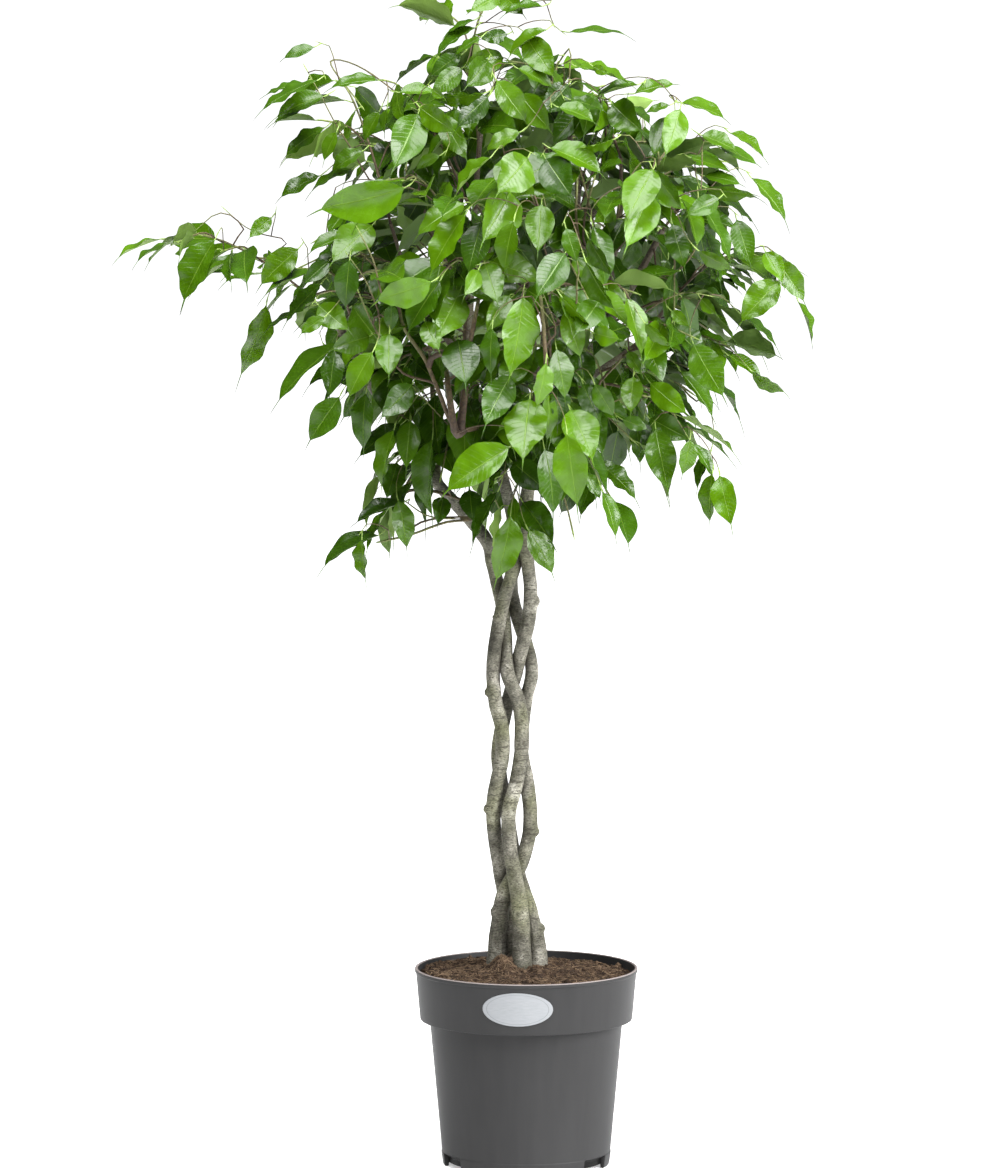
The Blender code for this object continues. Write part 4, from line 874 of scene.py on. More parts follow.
def crown_reach(height, across):
    """How far the crown's outline lies from its axis at a height, on the side of `across`."""
    heights, left, right = zip(*CROWN_REACH)
    return np.interp(height, heights, left if across < 0 else right, left=1, right=1)


def inside_crown(point):
    """Whether a point lies within the outline, an ellipse at each height."""
    across, depth, height = point
    reach = crown_reach(height, across)
    deep = mean_reach(height) * CROWN_DEPTH
    return (across / reach) ** 2 + (depth / deep) ** 2 < 1


def leaf_inside(root, ways, length):
    """Whether the middle and the tip of a leaf's blade lie within the crown's outline."""
    return all(inside_crown(root + ways[0] * PETIOLE + ways[1] * length * share) for share in (0.5, 0.9))


def facing(blade, toward, roll):
    """The normal of a blade that faces the camera and is then rolled by an angle about its length."""
    face = unit(toward - toward.dot(blade) * blade)
    return face * math.cos(roll) + np.cross(blade, face) * math.sin(roll)


def sheen_roll(blade, toward):
    """The roll at which the nearest softbox shines in the blade, within SHEEN_TURN."""
    face = facing(blade, toward, 0)
    rolls = []
    for place, _, _ in LIGHTS.values():
        half = unit(toward + unit(np.array(place) - CROWN_MIDDLE * MM))
        rolls.append(math.atan2(half.dot(np.cross(blade, face)), half.dot(face)))
    return float(np.clip(min(rolls, key=abs), -SHEEN_TURN, SHEEN_TURN))


def mean_reach(height):
    """The mean of the crown's two reaches at a height."""
    return (crown_reach(height, -1) + crown_reach(height, 1)) / 2


def face_depth(across, height, share):
    """How far before the axis a share of the crown's depth lies, on an ellipse, as sqrt(1 - flank^2)."""
    flank = min(1, abs(across) / crown_reach(height, across))
    return share * mean_reach(height) * math.sqrt(1 - flank ** 2)


def front_leaf(row, glossy, crown):
    """A leaf where the camera sees it, moved towards the camera until it stands before all that is there.

    It is seen as wide as a blade of its length is when the blade is rolled by acos(seen width / own width),
    and as long as a blade that leans towards the camera by acos(seen length / own length). It stops at
    FRONT_LIMIT, and is moved back where it crosses something there.
    """
    base_across, base_height, tip_across, tip_height, wide, light = row
    base = np.array([base_across, 0.0, base_height])
    toward = unit(CAMERA_AT / MM - base)
    seen = np.array([tip_across - base_across, 0.0, tip_height - base_height])
    seen -= seen.dot(toward) * toward
    reach = np.linalg.norm(seen)
    natural = wide / (2 * LEAF_WIDTH_SHARE)
    length = np.clip(natural, reach, reach * MOST_LEAN)
    lean = math.acos(reach / length)
    blade = seen / reach * math.cos(lean) + toward * math.sin(lean)
    side = np.cross(blade, facing(blade, toward, 0))
    roll = math.acos(np.clip(natural / length, LEAST_TURN, 1))
    roll *= 1 if 2 * side[2] + side[0] * base_across / CROWN_HALVES[0] > 0 else -1
    sheen = sheen_roll(blade, toward)
    if glossy:
        roll = sheen if abs(roll) < abs(sheen) else abs(roll) * (1 if sheen > 0 else -1)
    elif light >= PLAIN_LIGHT:
        roll = max(abs(roll), PLAIN_TURN) * (-1 if sheen > 0 else 1)
    broad = float(np.clip(natural / (length * math.cos(roll)), *BREADTHS))
    stalk = unit(FACE_STALK["blade"] * blade + FACE_STALK["toward"] * toward - (0, 0, FACE_STALK["down"]))
    ways = (stalk, blade, facing(blade, toward, roll))
    root = base - stalk * PETIOLE + toward * face_depth(base_across, base_height, FACE_DEPTH)
    points = plain_leaf(root, ways, length, CLEARANCE, broad)[0]
    points = np.vstack([points, (points[:-3] + points[3:]) / 2])
    before = crown.standing_before(points, toward)
    root = root + toward * (before + SIGHT_START * (before > 0))
    room = plain_leaf(root, ways, length, 0.0, broad)[0][:, 1].min() - FRONT_LIMIT
    steps = np.arange(FACE_TRIES) * FACE_STEP
    for move in np.concatenate([np.minimum(steps, room), min(0, room) - steps[1:]]):
        place = root + toward * move
        if not crown.crosses(plain_leaf(place, ways, length, FACE_CLEARANCE, broad)):
            return Leaf(place, ways, float(length), broad, light / 100)
    return Leaf(root + toward * min(0, room), ways, float(length), broad, light / 100)


def sight_block(leaf):
    """A leaf's outline and diagonals carried towards the camera, sheets that later leaves keep clear of."""
    stalk, blade, normal = leaf.ways
    foot = leaf.root + stalk * PETIOLE
    toward = unit(CAMERA_AT / MM - foot)
    half = np.cross(blade, normal) * LEAF_WIDTH_SHARE * leaf.length * leaf.broad * 0.8
    middle = foot + blade * leaf.length * 0.45
    ring = np.array([foot, middle + half, foot + blade * leaf.length * 0.85, middle - half])
    ring = ring + toward * SIGHT_OFFSET
    vertices = np.vstack([ring, ring + toward * SIGHT_REACH])
    sheets = [(0, 1), (1, 2), (2, 3), (3, 0), (0, 2), (1, 3)]
    triangles = [face for a, b in sheets for face in ((a, b, b + 4), (a, b + 4, a + 4))]
    return vertices, np.array(triangles)


def holding_twig(leaf, places, crown):
    """A thin twig from the nearest wood or twig to a leaf, the first of a few that is clear of the crown."""
    away = places - leaf.root
    cost = np.linalg.norm(away, axis=1) + HOLDING_RISE_COST * np.clip(-away[:, 2], 0, None)
    nearest = np.argsort(cost)[:HOLDING_PLACES * HOLDING_SPACING:HOLDING_SPACING]
    first = None
    for place in places[nearest]:
        span = np.linalg.norm(leaf.root - place)
        knee = lerp(place, leaf.root, HOLDING_KNEE) + (0, 0, HOLDING_RISE * span)
        path = bezier(place, knee, leaf.root - leaf.ways[0] * HOLDING_LEAVING * span, leaf.root, 6)
        radii = np.linspace(*HOLDING_RADII, len(path))
        first = first or (path, radii)
        if span < HOLDING_SHORT:
            return path, radii
        clear_path, clear_radii = beyond(path, radii, HOLDING_ENDS[0])
        clear_path, clear_radii = beyond(clear_path[::-1], clear_radii[::-1], HOLDING_ENDS[1])
        if not crown.crosses(tube(clear_path, clear_radii + HOLDING_CLEARANCE, 5)):
            return path, radii
    return first


def hold_leaves(leaves, places, crown):
    """A holding twig for each leaf in turn, from the places and from the twigs before it."""
    twigs = []
    for leaf in leaves:
        path, radii = holding_twig(leaf, places, crown)
        twigs.append((path, radii))
        places = np.vstack([places, smooth_path(path, WOOD_STEP)[1:-1]])
    return twigs


def front_twig(radius, seen, crown):
    """A twig where the camera sees it, moved towards the camera until it stands before all that is there."""
    path = smooth_path([(x, 0.0, z) for x, z in seen], WOOD_STEP)
    toward = unit(CAMERA_AT / MM - path.mean(axis=0))
    path = path + toward * face_depth(*seen[0], TWIG_DEPTH)
    path = path + toward * (crown.standing_before(path, toward) + radius + 1)
    return path - toward * max(0, FRONT_LIMIT - path[:, 1].min())


def carried_sheet(path, radius):
    """Two sheets along a twig's sides, carried towards the camera, that later leaves keep clear of."""
    toward = unit(CAMERA_AT / MM - path.mean(axis=0))
    side = units(np.cross(np.gradient(path, axis=0), toward)) * radius
    k = np.arange(len(path) - 1)
    vertices, faces = [], []
    for edge in (path + side, path - side):
        start = sum(len(part) for part in vertices)
        vertices.append(np.vstack([edge + toward * SIGHT_OFFSET, edge + toward * SIGHT_REACH]))
        far = k + len(path)
        sheet = [np.column_stack([k, k + 1, far + 1]), np.column_stack([k, far + 1, far])]
        faces.append(np.vstack(sheet) + start)
    return np.vstack(vertices), np.vstack(faces)


def rooted_twig(path, radius, places):
    """A seen twig with a Bezier curve from the nearest wood to its inner end, and a tail that bends back."""
    inner = np.abs(path[:, 0]) + path[:, 2] / 2
    path = path if inner[0] < inner[-1] else path[::-1]
    away = unit(path[1] - path[0])
    rise = np.clip(places[:, 2] - path[0][2] + TWIG_DROP, 0, None)
    near = places[(np.linalg.norm(places - path[0], axis=1) + TWIG_RISE_COST * rise).argmin()]
    span = np.linalg.norm(path[0] - near)
    reach = min(max(TWIG_DROP, TWIG_LEAVING * span), TWIG_MOST_REACH * span)
    hold = bezier(near, near + (0, 0, TWIG_LEAVING * span), path[0] - away * reach, path[0], 9)[:-1]
    toward = unit(CAMERA_AT / MM - path[-1])
    marks = np.array([1.0, 2.0, 3.0])[:, None] * TWIG_TAIL * radius
    tail = path[-1] + unit(path[-1] - path[-2]) * marks - toward * marks ** 2 / (3 * TWIG_TAIL * radius)
    whole = np.vstack([hold, path, tail])
    return whole, radius / FINE_TWIG_SHARE * np.linspace(*TWIG_TAPER, len(whole))


def front_foliage(stems, limbs, sprays, crown):
    """The twigs and leaves on the crown's face, darker leaves behind lighter ones, and what holds them."""
    places = [wood_places(stems, limbs)[0]]
    places += [smooth_path(path, WOOD_STEP) for twigs, _ in sprays for path, _ in twigs]
    places = np.vstack(places)
    twigs = []
    seen_twigs = []
    for radius, seen in FRONT_TWIGS:
        path = front_twig(radius, seen, crown)
        seen_twigs.append((path, radius))
        whole, radii = rooted_twig(path, radius, places)
        twigs.append((whole, radii))
        crown.add([tube(whole, radii, 5)])
        places = np.vstack([places, whole])
    rows = [(row, False) for row in FRONT_LEAVES] + [(row, True) for row in GLOSSY_LEAVES]
    leaves = []
    for row, glossy in sorted(rows, key=lambda pair: pair[0][5]):
        leaf = front_leaf(row, glossy, crown)
        leaves.append(leaf)
        crown.add([plain_leaf(*leaf[:3], 0.0, leaf.broad)])
    twigs += hold_leaves(leaves, places, crown)
    for twig in twigs:
        crown.add([tube(*twig, 4)])
    for leaf in leaves:
        crown.add([sight_block(leaf)])
    for path, radius in seen_twigs:
        crown.add([carried_sheet(path, radius)])
    return leaves, twigs


def fill_gaps(places, crown):
    """Leaves on the crown's far side, hung where a line from the camera meets nothing, and their twigs."""
    rng = np.random.default_rng(FILL_SEED)
    across, up = np.meshgrid(*(np.arange(-reach, reach, FILL_STEP) for reach in FILL_REACH))
    inside = (across / FILL_REACH[0]) ** 2 + (up / FILL_REACH[1]) ** 2 < 1
    leaves = []
    for x, z in rng.permutation(np.column_stack([across[inside], up[inside]])):
        spot = FILL_MIDDLE + (x, 0, z)
        toward = unit(CAMERA_AT / MM - spot)
        if crown.standing_before(spot[None] - toward * SIGHT_REACH / 2, toward, 1.5 * SIGHT_REACH):
            continue
        blade = unit(np.array([rng.uniform(-slant, slant) for slant in FILL_SLANTS] + [-1.0]))
        stalk = unit(blade + rng.uniform(-FILL_STALK, FILL_STALK, 3))
        ways = (stalk, blade, facing(blade, toward, rng.uniform(-FILL_ROLL, FILL_ROLL)))
        length = rng.uniform(*FILL_LENGTHS)
        light = rng.uniform(*FILL_LIGHTS)
        root = spot - toward * rng.uniform(*FILL_DEPTHS) - blade * length * 0.45 - ways[0] * PETIOLE
        for _ in range(FILL_TRIES):
            fat = plain_leaf(root, ways, length, CLEARANCE)
            if leaf_inside(root, ways, length) and not crown.crosses(fat):
                leaves.append(Leaf(root, ways, length, 1.0, light))
                crown.add([plain_leaf(root, ways, length, 0.0, FILL_NARROW)])
                break
            root = root - toward * FACE_STEP * 2
    return leaves, hold_leaves(leaves, places, crown)


def more_foliage(index, twigs, crown):
    """What a spray has besides its packed twigs and leaves: further side twigs, and leaves between."""
    side = -1 if index % 2 else 1
    main = twigs[0][0]
    rng = np.random.default_rng(MORE_SEED + index)
    added = []
    for k, share in enumerate(MORE_SIDE_TWIGS):
        turn = side * (-1) ** k
        twig = lay_twig(lambda swing: side_twig_path(main, share, turn, rng, swing), TWIG_TIP_RADIUS, crown)
        if twig is not None and (index == 0 or inside_crown(twig[0][-1])):
            added.append(twig)
    buds = [(main, share, (-1) ** k * side) for k, share in enumerate(BETWEEN_LEAVES)]
    buds += [(path, share, (-1) ** k * side) for path, _ in twigs[1:]
             for k, share in enumerate(BETWEEN_SIDE_LEAVES)]
    buds += [(path, share, (-1) ** k * side) for path, _ in added
             for k, share in enumerate(MORE_SIDE_LEAVES)]
    return added, lay_leaves(buds, MORE_SEED + LEAF_SEEDS * index, crown, index == 0)


def lay_leaves(buds, seed, crown, free=False):
    """Leaves at the buds, each clear of the crown and of those before it, and in its outline unless free."""
    leaves = []
    broad = np.random.default_rng(seed + SLENDER_SEED).uniform(*SLENDER, len(buds))
    for bud, (path, share, turn) in enumerate(buds):
        placed = lay_leaf(path, share, turn, seed + bud, crown, None)
        if placed is not None and (free or leaf_inside(*placed)):
            leaves.append(Leaf(*placed, broad[bud]))
            crown.add([plain_leaf(*placed, 0.0, broad[bud])])
    return leaves


def inner_twigs(stems, limbs, bases, crown):
    """Short leafy twigs that fill the inside of the crown, rooted where the wood is still bare."""
    places, _ = wood_places(stems, limbs)
    taken = np.array(bases)
    rng = np.random.default_rng(INNER_SEED)
    grown = []
    for k in range(INNER_TWIGS):
        gaps = np.linalg.norm(places[:, None] - taken[None], axis=2).min(axis=1)
        base = places[int(gaps.argmax())]
        taken = np.vstack([taken, base])
        out = unit(base - np.array(HEART, float) + rng.normal(0, INNER_SWINGS[0], 3))
        heading = unit(out + (0, 0, INNER_RISE) + rng.normal(0, INNER_SWINGS[1], 3))
        tip = base + heading * rng.uniform(*INNER_LENGTHS)
        twig = lay_twig(lambda swing: twig_path(base, tip, rng, swing), TWIG_TIP_RADIUS * INNER_THICKER,
                        crown)
        if twig is None or not inside_crown(twig[0][-1]):
            continue
        crown.add([tube(*twig, 4)])
        buds = [(twig[0], share, (-1) ** n) for n, share in enumerate(INNER_LEAVES)]
        grown.append((twig, lay_leaves(buds, INNER_SEED + LEAF_SEEDS * (k + 1), crown)))
    return grown


def carried(grid, back=None):
    """Faces of closed lofts from a grid of (bodies, rings, columns, 3), closed round it and at its ends.

    Returns the vertices, the quads, the triangles of the ends, and for each the (body, ring, column)
    that each corner was read at, where a column may be one past the last. The quads from column back on
    start a corner later, so that both sides of a thin sheet are cut into triangles along the same lines.
    """
    bodies, rings, columns = grid.shape[:3]
    back = columns if back is None else back
    body, ring, column = np.meshgrid(np.arange(bodies), np.arange(rings - 1), np.arange(columns),
                                     indexing="ij")
    corners = [(ring, column), (ring, column + 1), (ring + 1, column + 1), (ring + 1, column)]
    quads = np.stack([np.stack([body, r, c], axis=-1) for r, c in corners], axis=-2)
    quads[:, :, back:] = np.roll(quads[:, :, back:], -1, axis=-2)
    quads = quads.reshape(-1, 4, 3)
    fan = np.arange(1, columns - 1)
    first = np.stack([np.zeros_like(fan), fan + 1, fan], axis=-1)
    last = first[:, ::-1]
    ends = np.concatenate([np.stack([np.zeros_like(first), first], axis=-1),
                           np.stack([np.full_like(last, rings - 1), last], axis=-1)])
    ends = np.broadcast_to(ends, (bodies, *ends.shape))
    number = np.broadcast_to(np.arange(bodies)[:, None, None, None], (*ends.shape[:-1], 1))
    ends = np.concatenate([number, ends], axis=-1).reshape(-1, 3, 3)

    def index(corner):
        return (corner[..., 0] * rings + corner[..., 1]) * columns + corner[..., 2] % columns

    return grid.reshape(-1, 3), index(quads), index(ends), quads, ends


def put(name, data, place=(0, 0, 0), aim=None):
    """A new object of the scene at a place, with its -Z towards what it aims at."""
    thing = bpy.data.objects.new(name, data)
    bpy.context.scene.collection.objects.link(thing)
    thing.location = place
    if aim is not None:
        thing.rotation_euler = Vector(aim - place).to_track_quat("-Z", "Y").to_euler()
    return thing


def piece(name, parts, materials):
    """One closed mesh object from parts made by `carried`, with UVs and attributes, riding on the root.

    Each part is a dict with grid, and may have uv (bodies, rings, columns + 1, 2), attributes
    (name to values that spread over bodies, rings, columns), a material number and back, a sheet's first
    column behind.
    """
    vertices, faces, uvs, numbers, values = [], [], [], [], {}
    start = 0
    for part in parts:
        points, quads, ends, quad_marks, end_marks = carried(part["grid"], part.get("back"))
        a, b, c = points[quads[:, 0]], points[quads[:, 1]], points[quads[:, 2]]
        d = points[quads[:, 3]]
        e = points[ends]
        volume = sum((first * np.cross(second, third)).sum() for first, second, third in (
            (a, b, c), (a, c, d), (e[:, 0], e[:, 1], e[:, 2])))
        turn = slice(None, None, -1) if volume < 0 else slice(None)
        vertices.append(points * MM)
        faces += (quads[:, turn] + start).tolist() + (ends[:, turn] + start).tolist()
        marks = np.concatenate([quad_marks[:, turn].reshape(-1, 3), end_marks[:, turn].reshape(-1, 3)])
        if "uv" in part:
            uvs.append(part["uv"][marks[:, 0], marks[:, 1], marks[:, 2]])
        else:
            uvs.append(np.zeros((len(marks), 2)))
        numbers += [part.get("material", 0)] * (len(quads) + len(ends))
        for key, value in part.get("attributes", {}).items():
            value = np.broadcast_to(value, part["grid"].shape[:3])
            values.setdefault(key, {})[start] = value.reshape(-1)
        start += len(points)
    mesh = bpy.data.meshes.new(name)
    mesh.from_pydata(np.vstack(vertices), [], faces)
    layer = mesh.uv_layers.new(name="UVMap")
    layer.uv.foreach_set("vector", np.vstack(uvs).astype(np.float32).ravel())
    mesh.polygons.foreach_set("material_index", numbers)
    for key, stretches in values.items():
        whole = np.zeros(start, np.float32)
        for at_vertex, value in stretches.items():
            whole[at_vertex:at_vertex + len(value)] = value
        mesh.attributes.new(key, "FLOAT", "POINT").data.foreach_set("value", whole)
    for material in materials:
        mesh.materials.append(material)
    mesh.shade_smooth()
    thing = put(name, mesh)
    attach(thing, "root")
    return thing


def leaf_width(share):
    """The blade's half width as a share of its widest.

    With u the share of its length, the body is sin(pi (u / 0.84)^0.9)^0.8 and the drip tip that goes on
    from it is 0.13 (1 - u)^0.6; the two are joined as the root of the sum of their squares.
    """
    share = np.clip(share, 0, 1)
    body = np.clip(np.sin(math.pi * np.clip(share / BODY_END, 0, 1) ** 0.9), 0, None) ** 0.8
    drip = DRIP_WIDTH * (1 - share) ** 0.6 * smoothstep(0, 0.3, share)
    return np.hypot(body, drip)


def leaf_grid(leaves, seed):
    """Sections of many leaves at once, as (leaves, stations, loop, 3), with their UVs.

    A loop of points round the section is carried along the petiole, a Bezier curve, and then along the
    midrib, which arches as u^2 and whose tip hangs. Across the blade a point at share v of the half
    width is lifted by the fold, by a swelling of |v| - v^2 and by margin waves that grow as |v|^1.6.
    """
    rng = np.random.default_rng(seed)
    count = len(leaves)
    root = np.array([leaf.root for leaf in leaves])
    stalk, blade, normal = (np.array([leaf.ways[k] for leaf in leaves]) for k in range(3))
    length = np.array([leaf.length for leaf in leaves])[:, None, None]
    broad = np.array([leaf.broad for leaf in leaves])[:, None, None]

    def draw(name):
        return rng.uniform(*LEAF_DRAWS[name], (count, 1, 1))

    across = np.cross(blade, normal)
    foot = root + stalk * PETIOLE
    t = PETIOLE_MARKS[None, :, None]
    knee = root + stalk * PETIOLE * 0.55
    heel = foot - blade * PETIOLE * 0.3
    stem = ((1 - t) ** 3 * root[:, None] + 3 * (1 - t) ** 2 * t * knee[:, None]
            + 3 * (1 - t) * t ** 2 * heel[:, None] + t ** 3 * foot[:, None])
    u = BLADE_MARKS[None, :, None]
    arch, sway, hang = draw("arch"), draw("sway"), draw("hang")
    rib = (foot[:, None] + blade[:, None] * length * u - normal[:, None] * length * arch * u ** 2
           + across[:, None] * length * sway * u ** 2
           - np.array([0, 0, 1.0]) * length * hang * np.clip(u - HANG_START, 0, None) ** 2 / 0.09)
    path = np.concatenate([stem, rib], axis=1)
    forward = units(np.gradient(path, axis=1))
    share = np.concatenate([np.zeros(len(PETIOLE_MARKS)), BLADE_MARKS])[None, :, None]
    twist = draw("twist") * share
    over = across[:, None] * np.cos(twist) + normal[:, None] * np.sin(twist)
    over = units(over - np.einsum("nsk,nsk->ns", over, forward)[..., None] * forward)
    above = np.cross(over, forward)

    v = np.concatenate([TOP_MARKS, UNDER_MARKS])[None, None, :]
    face = np.concatenate([np.ones(len(TOP_MARKS)), -np.ones(len(UNDER_MARKS))])[None, None, :]
    blend = smoothstep(0.0, 0.05, share)
    width = draw("width")
    half = leaf_width(share) * LEAF_WIDTH_SHARE * length * width * broad
    wobbles = np.sin(2 * math.pi * draw("wobbles") * share + draw("phase"))
    wobble = 1 + WOBBLE * wobbles * np.sign(v)
    radius = np.where(share >= 1, TIP_RADIUS, PETIOLE_RADIUS * (1 - 0.55 * share))
    reach = np.maximum(half * blend * wobble, radius)
    fold, swell, wave = draw("fold"), draw("swell"), draw("wave")
    waves = np.sin(2 * math.pi * draw("waves") * share + draw("phase") + np.sign(v) * draw("other side"))
    swing = smoothstep(0, WAVE_START, share) * (1 - smoothstep(*WAVE_FADE, share))
    lift = (half * (fold * np.abs(v) + swell * (np.abs(v) - v ** 2))
            + length * wave * swing * np.abs(v) ** 1.6 * waves)
    ridge = np.where(v == 0, RIB_DEPTH * (1 - 0.7 * share) * (face < 0), 0)
    flat = lift + face * np.where(np.abs(v) < 1, LEAF_THICKNESS / 2, 0) - ridge
    round_ = radius * np.sqrt(1 - v ** 2) * face
    height = lerp(round_, flat, blend * smoothstep(0, 3 * PETIOLE_RADIUS, half))
    grid = (path[:, :, None] + over[:, :, None] * (reach * v)[..., None]
            + above[:, :, None] * height[..., None])

    along = np.concatenate([(PETIOLE_MARKS - 1) * 0.15, BLADE_MARKS])
    around = np.concatenate([(TOP_MARKS + 1) / 2, 1 + (1 - UNDER_MARKS) / 2, [2.0]])
    uv = np.stack(np.meshgrid(along, around, indexing="ij"), axis=-1)
    return grid, np.broadcast_to(uv, (count, *uv.shape))


def twig_grid(path, radii, buds=()):
    """One twig as (1, rings, sides, 3): a round section carried along a smooth curve, swollen at its buds.

    It ends in a pointed bud. Returned with each ring's share of the way to the bud, which passes 1 in it.
    """
    fine = smooth_path(path, FINE_TWIG_STEP)
    radii = radii * FINE_TWIG_SHARE
    along = lengths_along(fine) / lengths_along(fine)[-1]
    radius = np.interp(along, np.linspace(0, 1, len(radii)), radii)
    for share in buds:
        off = (along - share) * lengths_along(fine)[-1]
        radius = radius * (1 + NODE_SWELL * np.exp(-(off / NODE_REACH) ** 2))
    _, forward = at(fine, 1.0)
    tip = fine[-1] + forward * BUD_LENGTH * BUD_MARKS[:, None]
    fine = np.vstack([fine, tip])
    radius = np.concatenate([radius, radii[-1] * BUD_TAPER])
    ring = section(*path_frames(fine), FINE_TWIG_SIDES)
    grid = fine[:, None] + ring * radius[:, None, None]
    return grid[None], np.concatenate([along, BUD_SHARES])


# Materials

def plug(socket, value):
    """Link a socket to another node's output, or set its value."""
    if isinstance(value, bpy.types.NodeSocket):
        socket.id_data.links.new(value, socket)
    else:
        socket.default_value = (*value, 1) if socket.type == "RGBA" else value


def node_maker(tree):
    """A function that makes a node of the tree, with its settings and its inputs linked or set."""
    def node(kind, inputs=None, **settings):
        made = tree.nodes.new(kind)
        for key, value in settings.items():
            setattr(made, key, value)
        for socket, value in (inputs or {}).items():
            plug(made.inputs[socket], value)
        return made

    return node


def new_material(name):
    """A new material, its node maker and its Principled shader."""
    material = bpy.data.materials.new(name)
    material.use_nodes = True
    return material, node_maker(material.node_tree), material.node_tree.nodes["Principled BSDF"]


def dress(shader, colour, roughness, specular, normal=None):
    """Link or set what differs between the materials of the plant and its pot."""
    plug(shader.inputs["Base Color"], colour)
    plug(shader.inputs["Roughness"], roughness)
    plug(shader.inputs["Specular IOR Level"], specular)
    if normal is not None:
        plug(shader.inputs["Normal"], normal)


def math_node(node, operation, *values):
    """The output of a Math node."""
    return node("ShaderNodeMath", dict(enumerate(values)), operation=operation).outputs[0]


def ramp(node, factor, stops):
    """The colour output of a colour ramp with (place, colour) stops."""
    made = node("ShaderNodeValToRGB", {0: factor})
    elements = made.color_ramp.elements
    while len(elements) < len(stops):
        elements.new(0.5)
    for element, (place, colour) in zip(elements, stops):
        element.position = place
        element.color = (*colour, 1)
    return made.outputs[0]


def mix_colour(node, factor, first, second, blend="MIX"):
    """The colour output of a Mix node."""
    return node("ShaderNodeMix", {0: factor, 6: first, 7: second}, data_type="RGBA",
                blend_type=blend).outputs[2]


def grey(level):
    """A grey colour of one level."""
    return (level, level, level)


def greys(node, factor, *stops):
    """The output of a ramp with (place, level) stops."""
    return ramp(node, factor, [(place, grey(level)) for place, level in stops])


def times(node, colour, factor, *stops):
    """A colour times a ramp with (place, level) stops."""
    return mix_colour(node, 1.0, colour, greys(node, factor, *stops), "MULTIPLY")


def tinge(node, factor, share, first, second):
    """The first colour, mixed with the second by a share of the factor."""
    return mix_colour(node, math_node(node, "MULTIPLY", factor, share), first, second)


def object_place(node):
    """The place in the object, metres."""
    return node("ShaderNodeTexCoord").outputs["Object"]


def attribute(node, name):
    """A point attribute's value."""
    return node("ShaderNodeAttribute", attribute_name=name).outputs["Fac"]


def scaled(node, place, height_scale):
    """A place with its height scaled."""
    return node("ShaderNodeMapping", {"Vector": place, "Scale": (1.0, 1.0, height_scale)}).outputs[0]


def noise(node, place, scale, detail=3.0, roughness=0.5):
    """The value of a noise texture at a place."""
    return node("ShaderNodeTexNoise", {"Vector": place, "Scale": scale, "Detail": detail,
                                       "Roughness": roughness}).outputs[0]


def cells(node, place, scale):
    """The distance to the nearest of the points strewn by a Voronoi texture."""
    return node("ShaderNodeTexVoronoi", {"Vector": place, "Scale": scale}).outputs[0]


def bump(node, height, strength, distance):
    """A normal from a height."""
    return node("ShaderNodeBump", {"Height": height, "Strength": strength, "Distance": distance}).outputs[0]


def leaf_material():
    """Fig leaf: glossy above, pale and duller below, with midrib, veins, a dark tip and light behind."""
    material, node, shader = new_material("fig_leaf_fine")
    uv = node("ShaderNodeUVMap", uv_map="UVMap").outputs[0]
    split = node("ShaderNodeSeparateXYZ", {0: uv}).outputs
    along, around = split[0], split[1]
    place = object_place(node)
    tone_and_painted_light = attribute(node, "tone_and_painted_light")
    under = math_node(node, "GREATER_THAN", around, 1.0)
    centred = math_node(node, "MULTIPLY_ADD", math_node(node, "FRACT", around), 2.0, -1.0)
    across = math_node(node, "ABSOLUTE", centred)
    rib = greys(node, across, (0.0, 1), (0.020, 0.8), (0.045, 0))
    vein_place = math_node(node, "MULTIPLY_ADD", across, -2.0, math_node(node, "MULTIPLY", along, 15.0))
    veins = greys(node, math_node(node, "PINGPONG", vein_place, 0.5), (0.0, 1), (0.09, 0))
    # the leaf's lightness paints its own tone together with painted light on the crown's outside and painted
    # shade within it
    upper = ramp(node, tone_and_painted_light, ((0.0, (0.011, 0.037, 0.001)), (0.35, (0.035, 0.096, 0.001)),
                              (0.70, (0.060, 0.141, 0.001)), (1.0, (0.084, 0.200, 0.001))))
    lower = ramp(node, tone_and_painted_light, ((0.0, (0.065, 0.125, 0.025)), (0.6, (0.130, 0.220, 0.035)),
                              (1.0, (0.180, 0.300, 0.040))))
    mottle = noise(node, place, 70.0)
    mottled = times(node, upper, mottle, (0.3, 0.82), (0.7, 1.14))
    veined = tinge(node, veins, 0.10, mottled, (0.17, 0.33, 0.03))
    ribbed = tinge(node, rib, 0.30, veined, (0.30, 0.48, 0.06))
    sided = mix_colour(node, under, ribbed, lower)
    stalked = mix_colour(node, math_node(node, "LESS_THAN", along, 0.0), sided, (0.27, 0.39, 0.10))
    tip = greys(node, along, (0.90, 0), (0.985, 0.85))
    tipped = mix_colour(node, tip, stalked, (0.030, 0.036, 0.012))
    wet = greys(node, mottle, (0.35, 0.15), (0.65, 0.29))
    relief = math_node(node, "MULTIPLY_ADD", veins, -0.25, math_node(node, "MULTIPLY", rib, -1.0))
    relief = math_node(node, "MULTIPLY_ADD", noise(node, place, 60.0, 2.0), 2.6, relief)
    dress(shader, tipped, mix_colour(node, under, wet, grey(0.60)), 0.47, bump(node, relief, 0.45, 0.0007))
    shader.inputs["IOR"].default_value = 1.45
    through = node("ShaderNodeBsdfTranslucent", {
        "Color": mix_colour(node, 1.0, tipped, (1.7, 1.6, 0.3), "MULTIPLY")})
    mixed = node("ShaderNodeMixShader", {0: 0.18, 1: shader.outputs[0], 2: through.outputs[0]})
    plug(material.node_tree.nodes["Material Output"].inputs["Surface"], mixed.outputs[0])
    return material


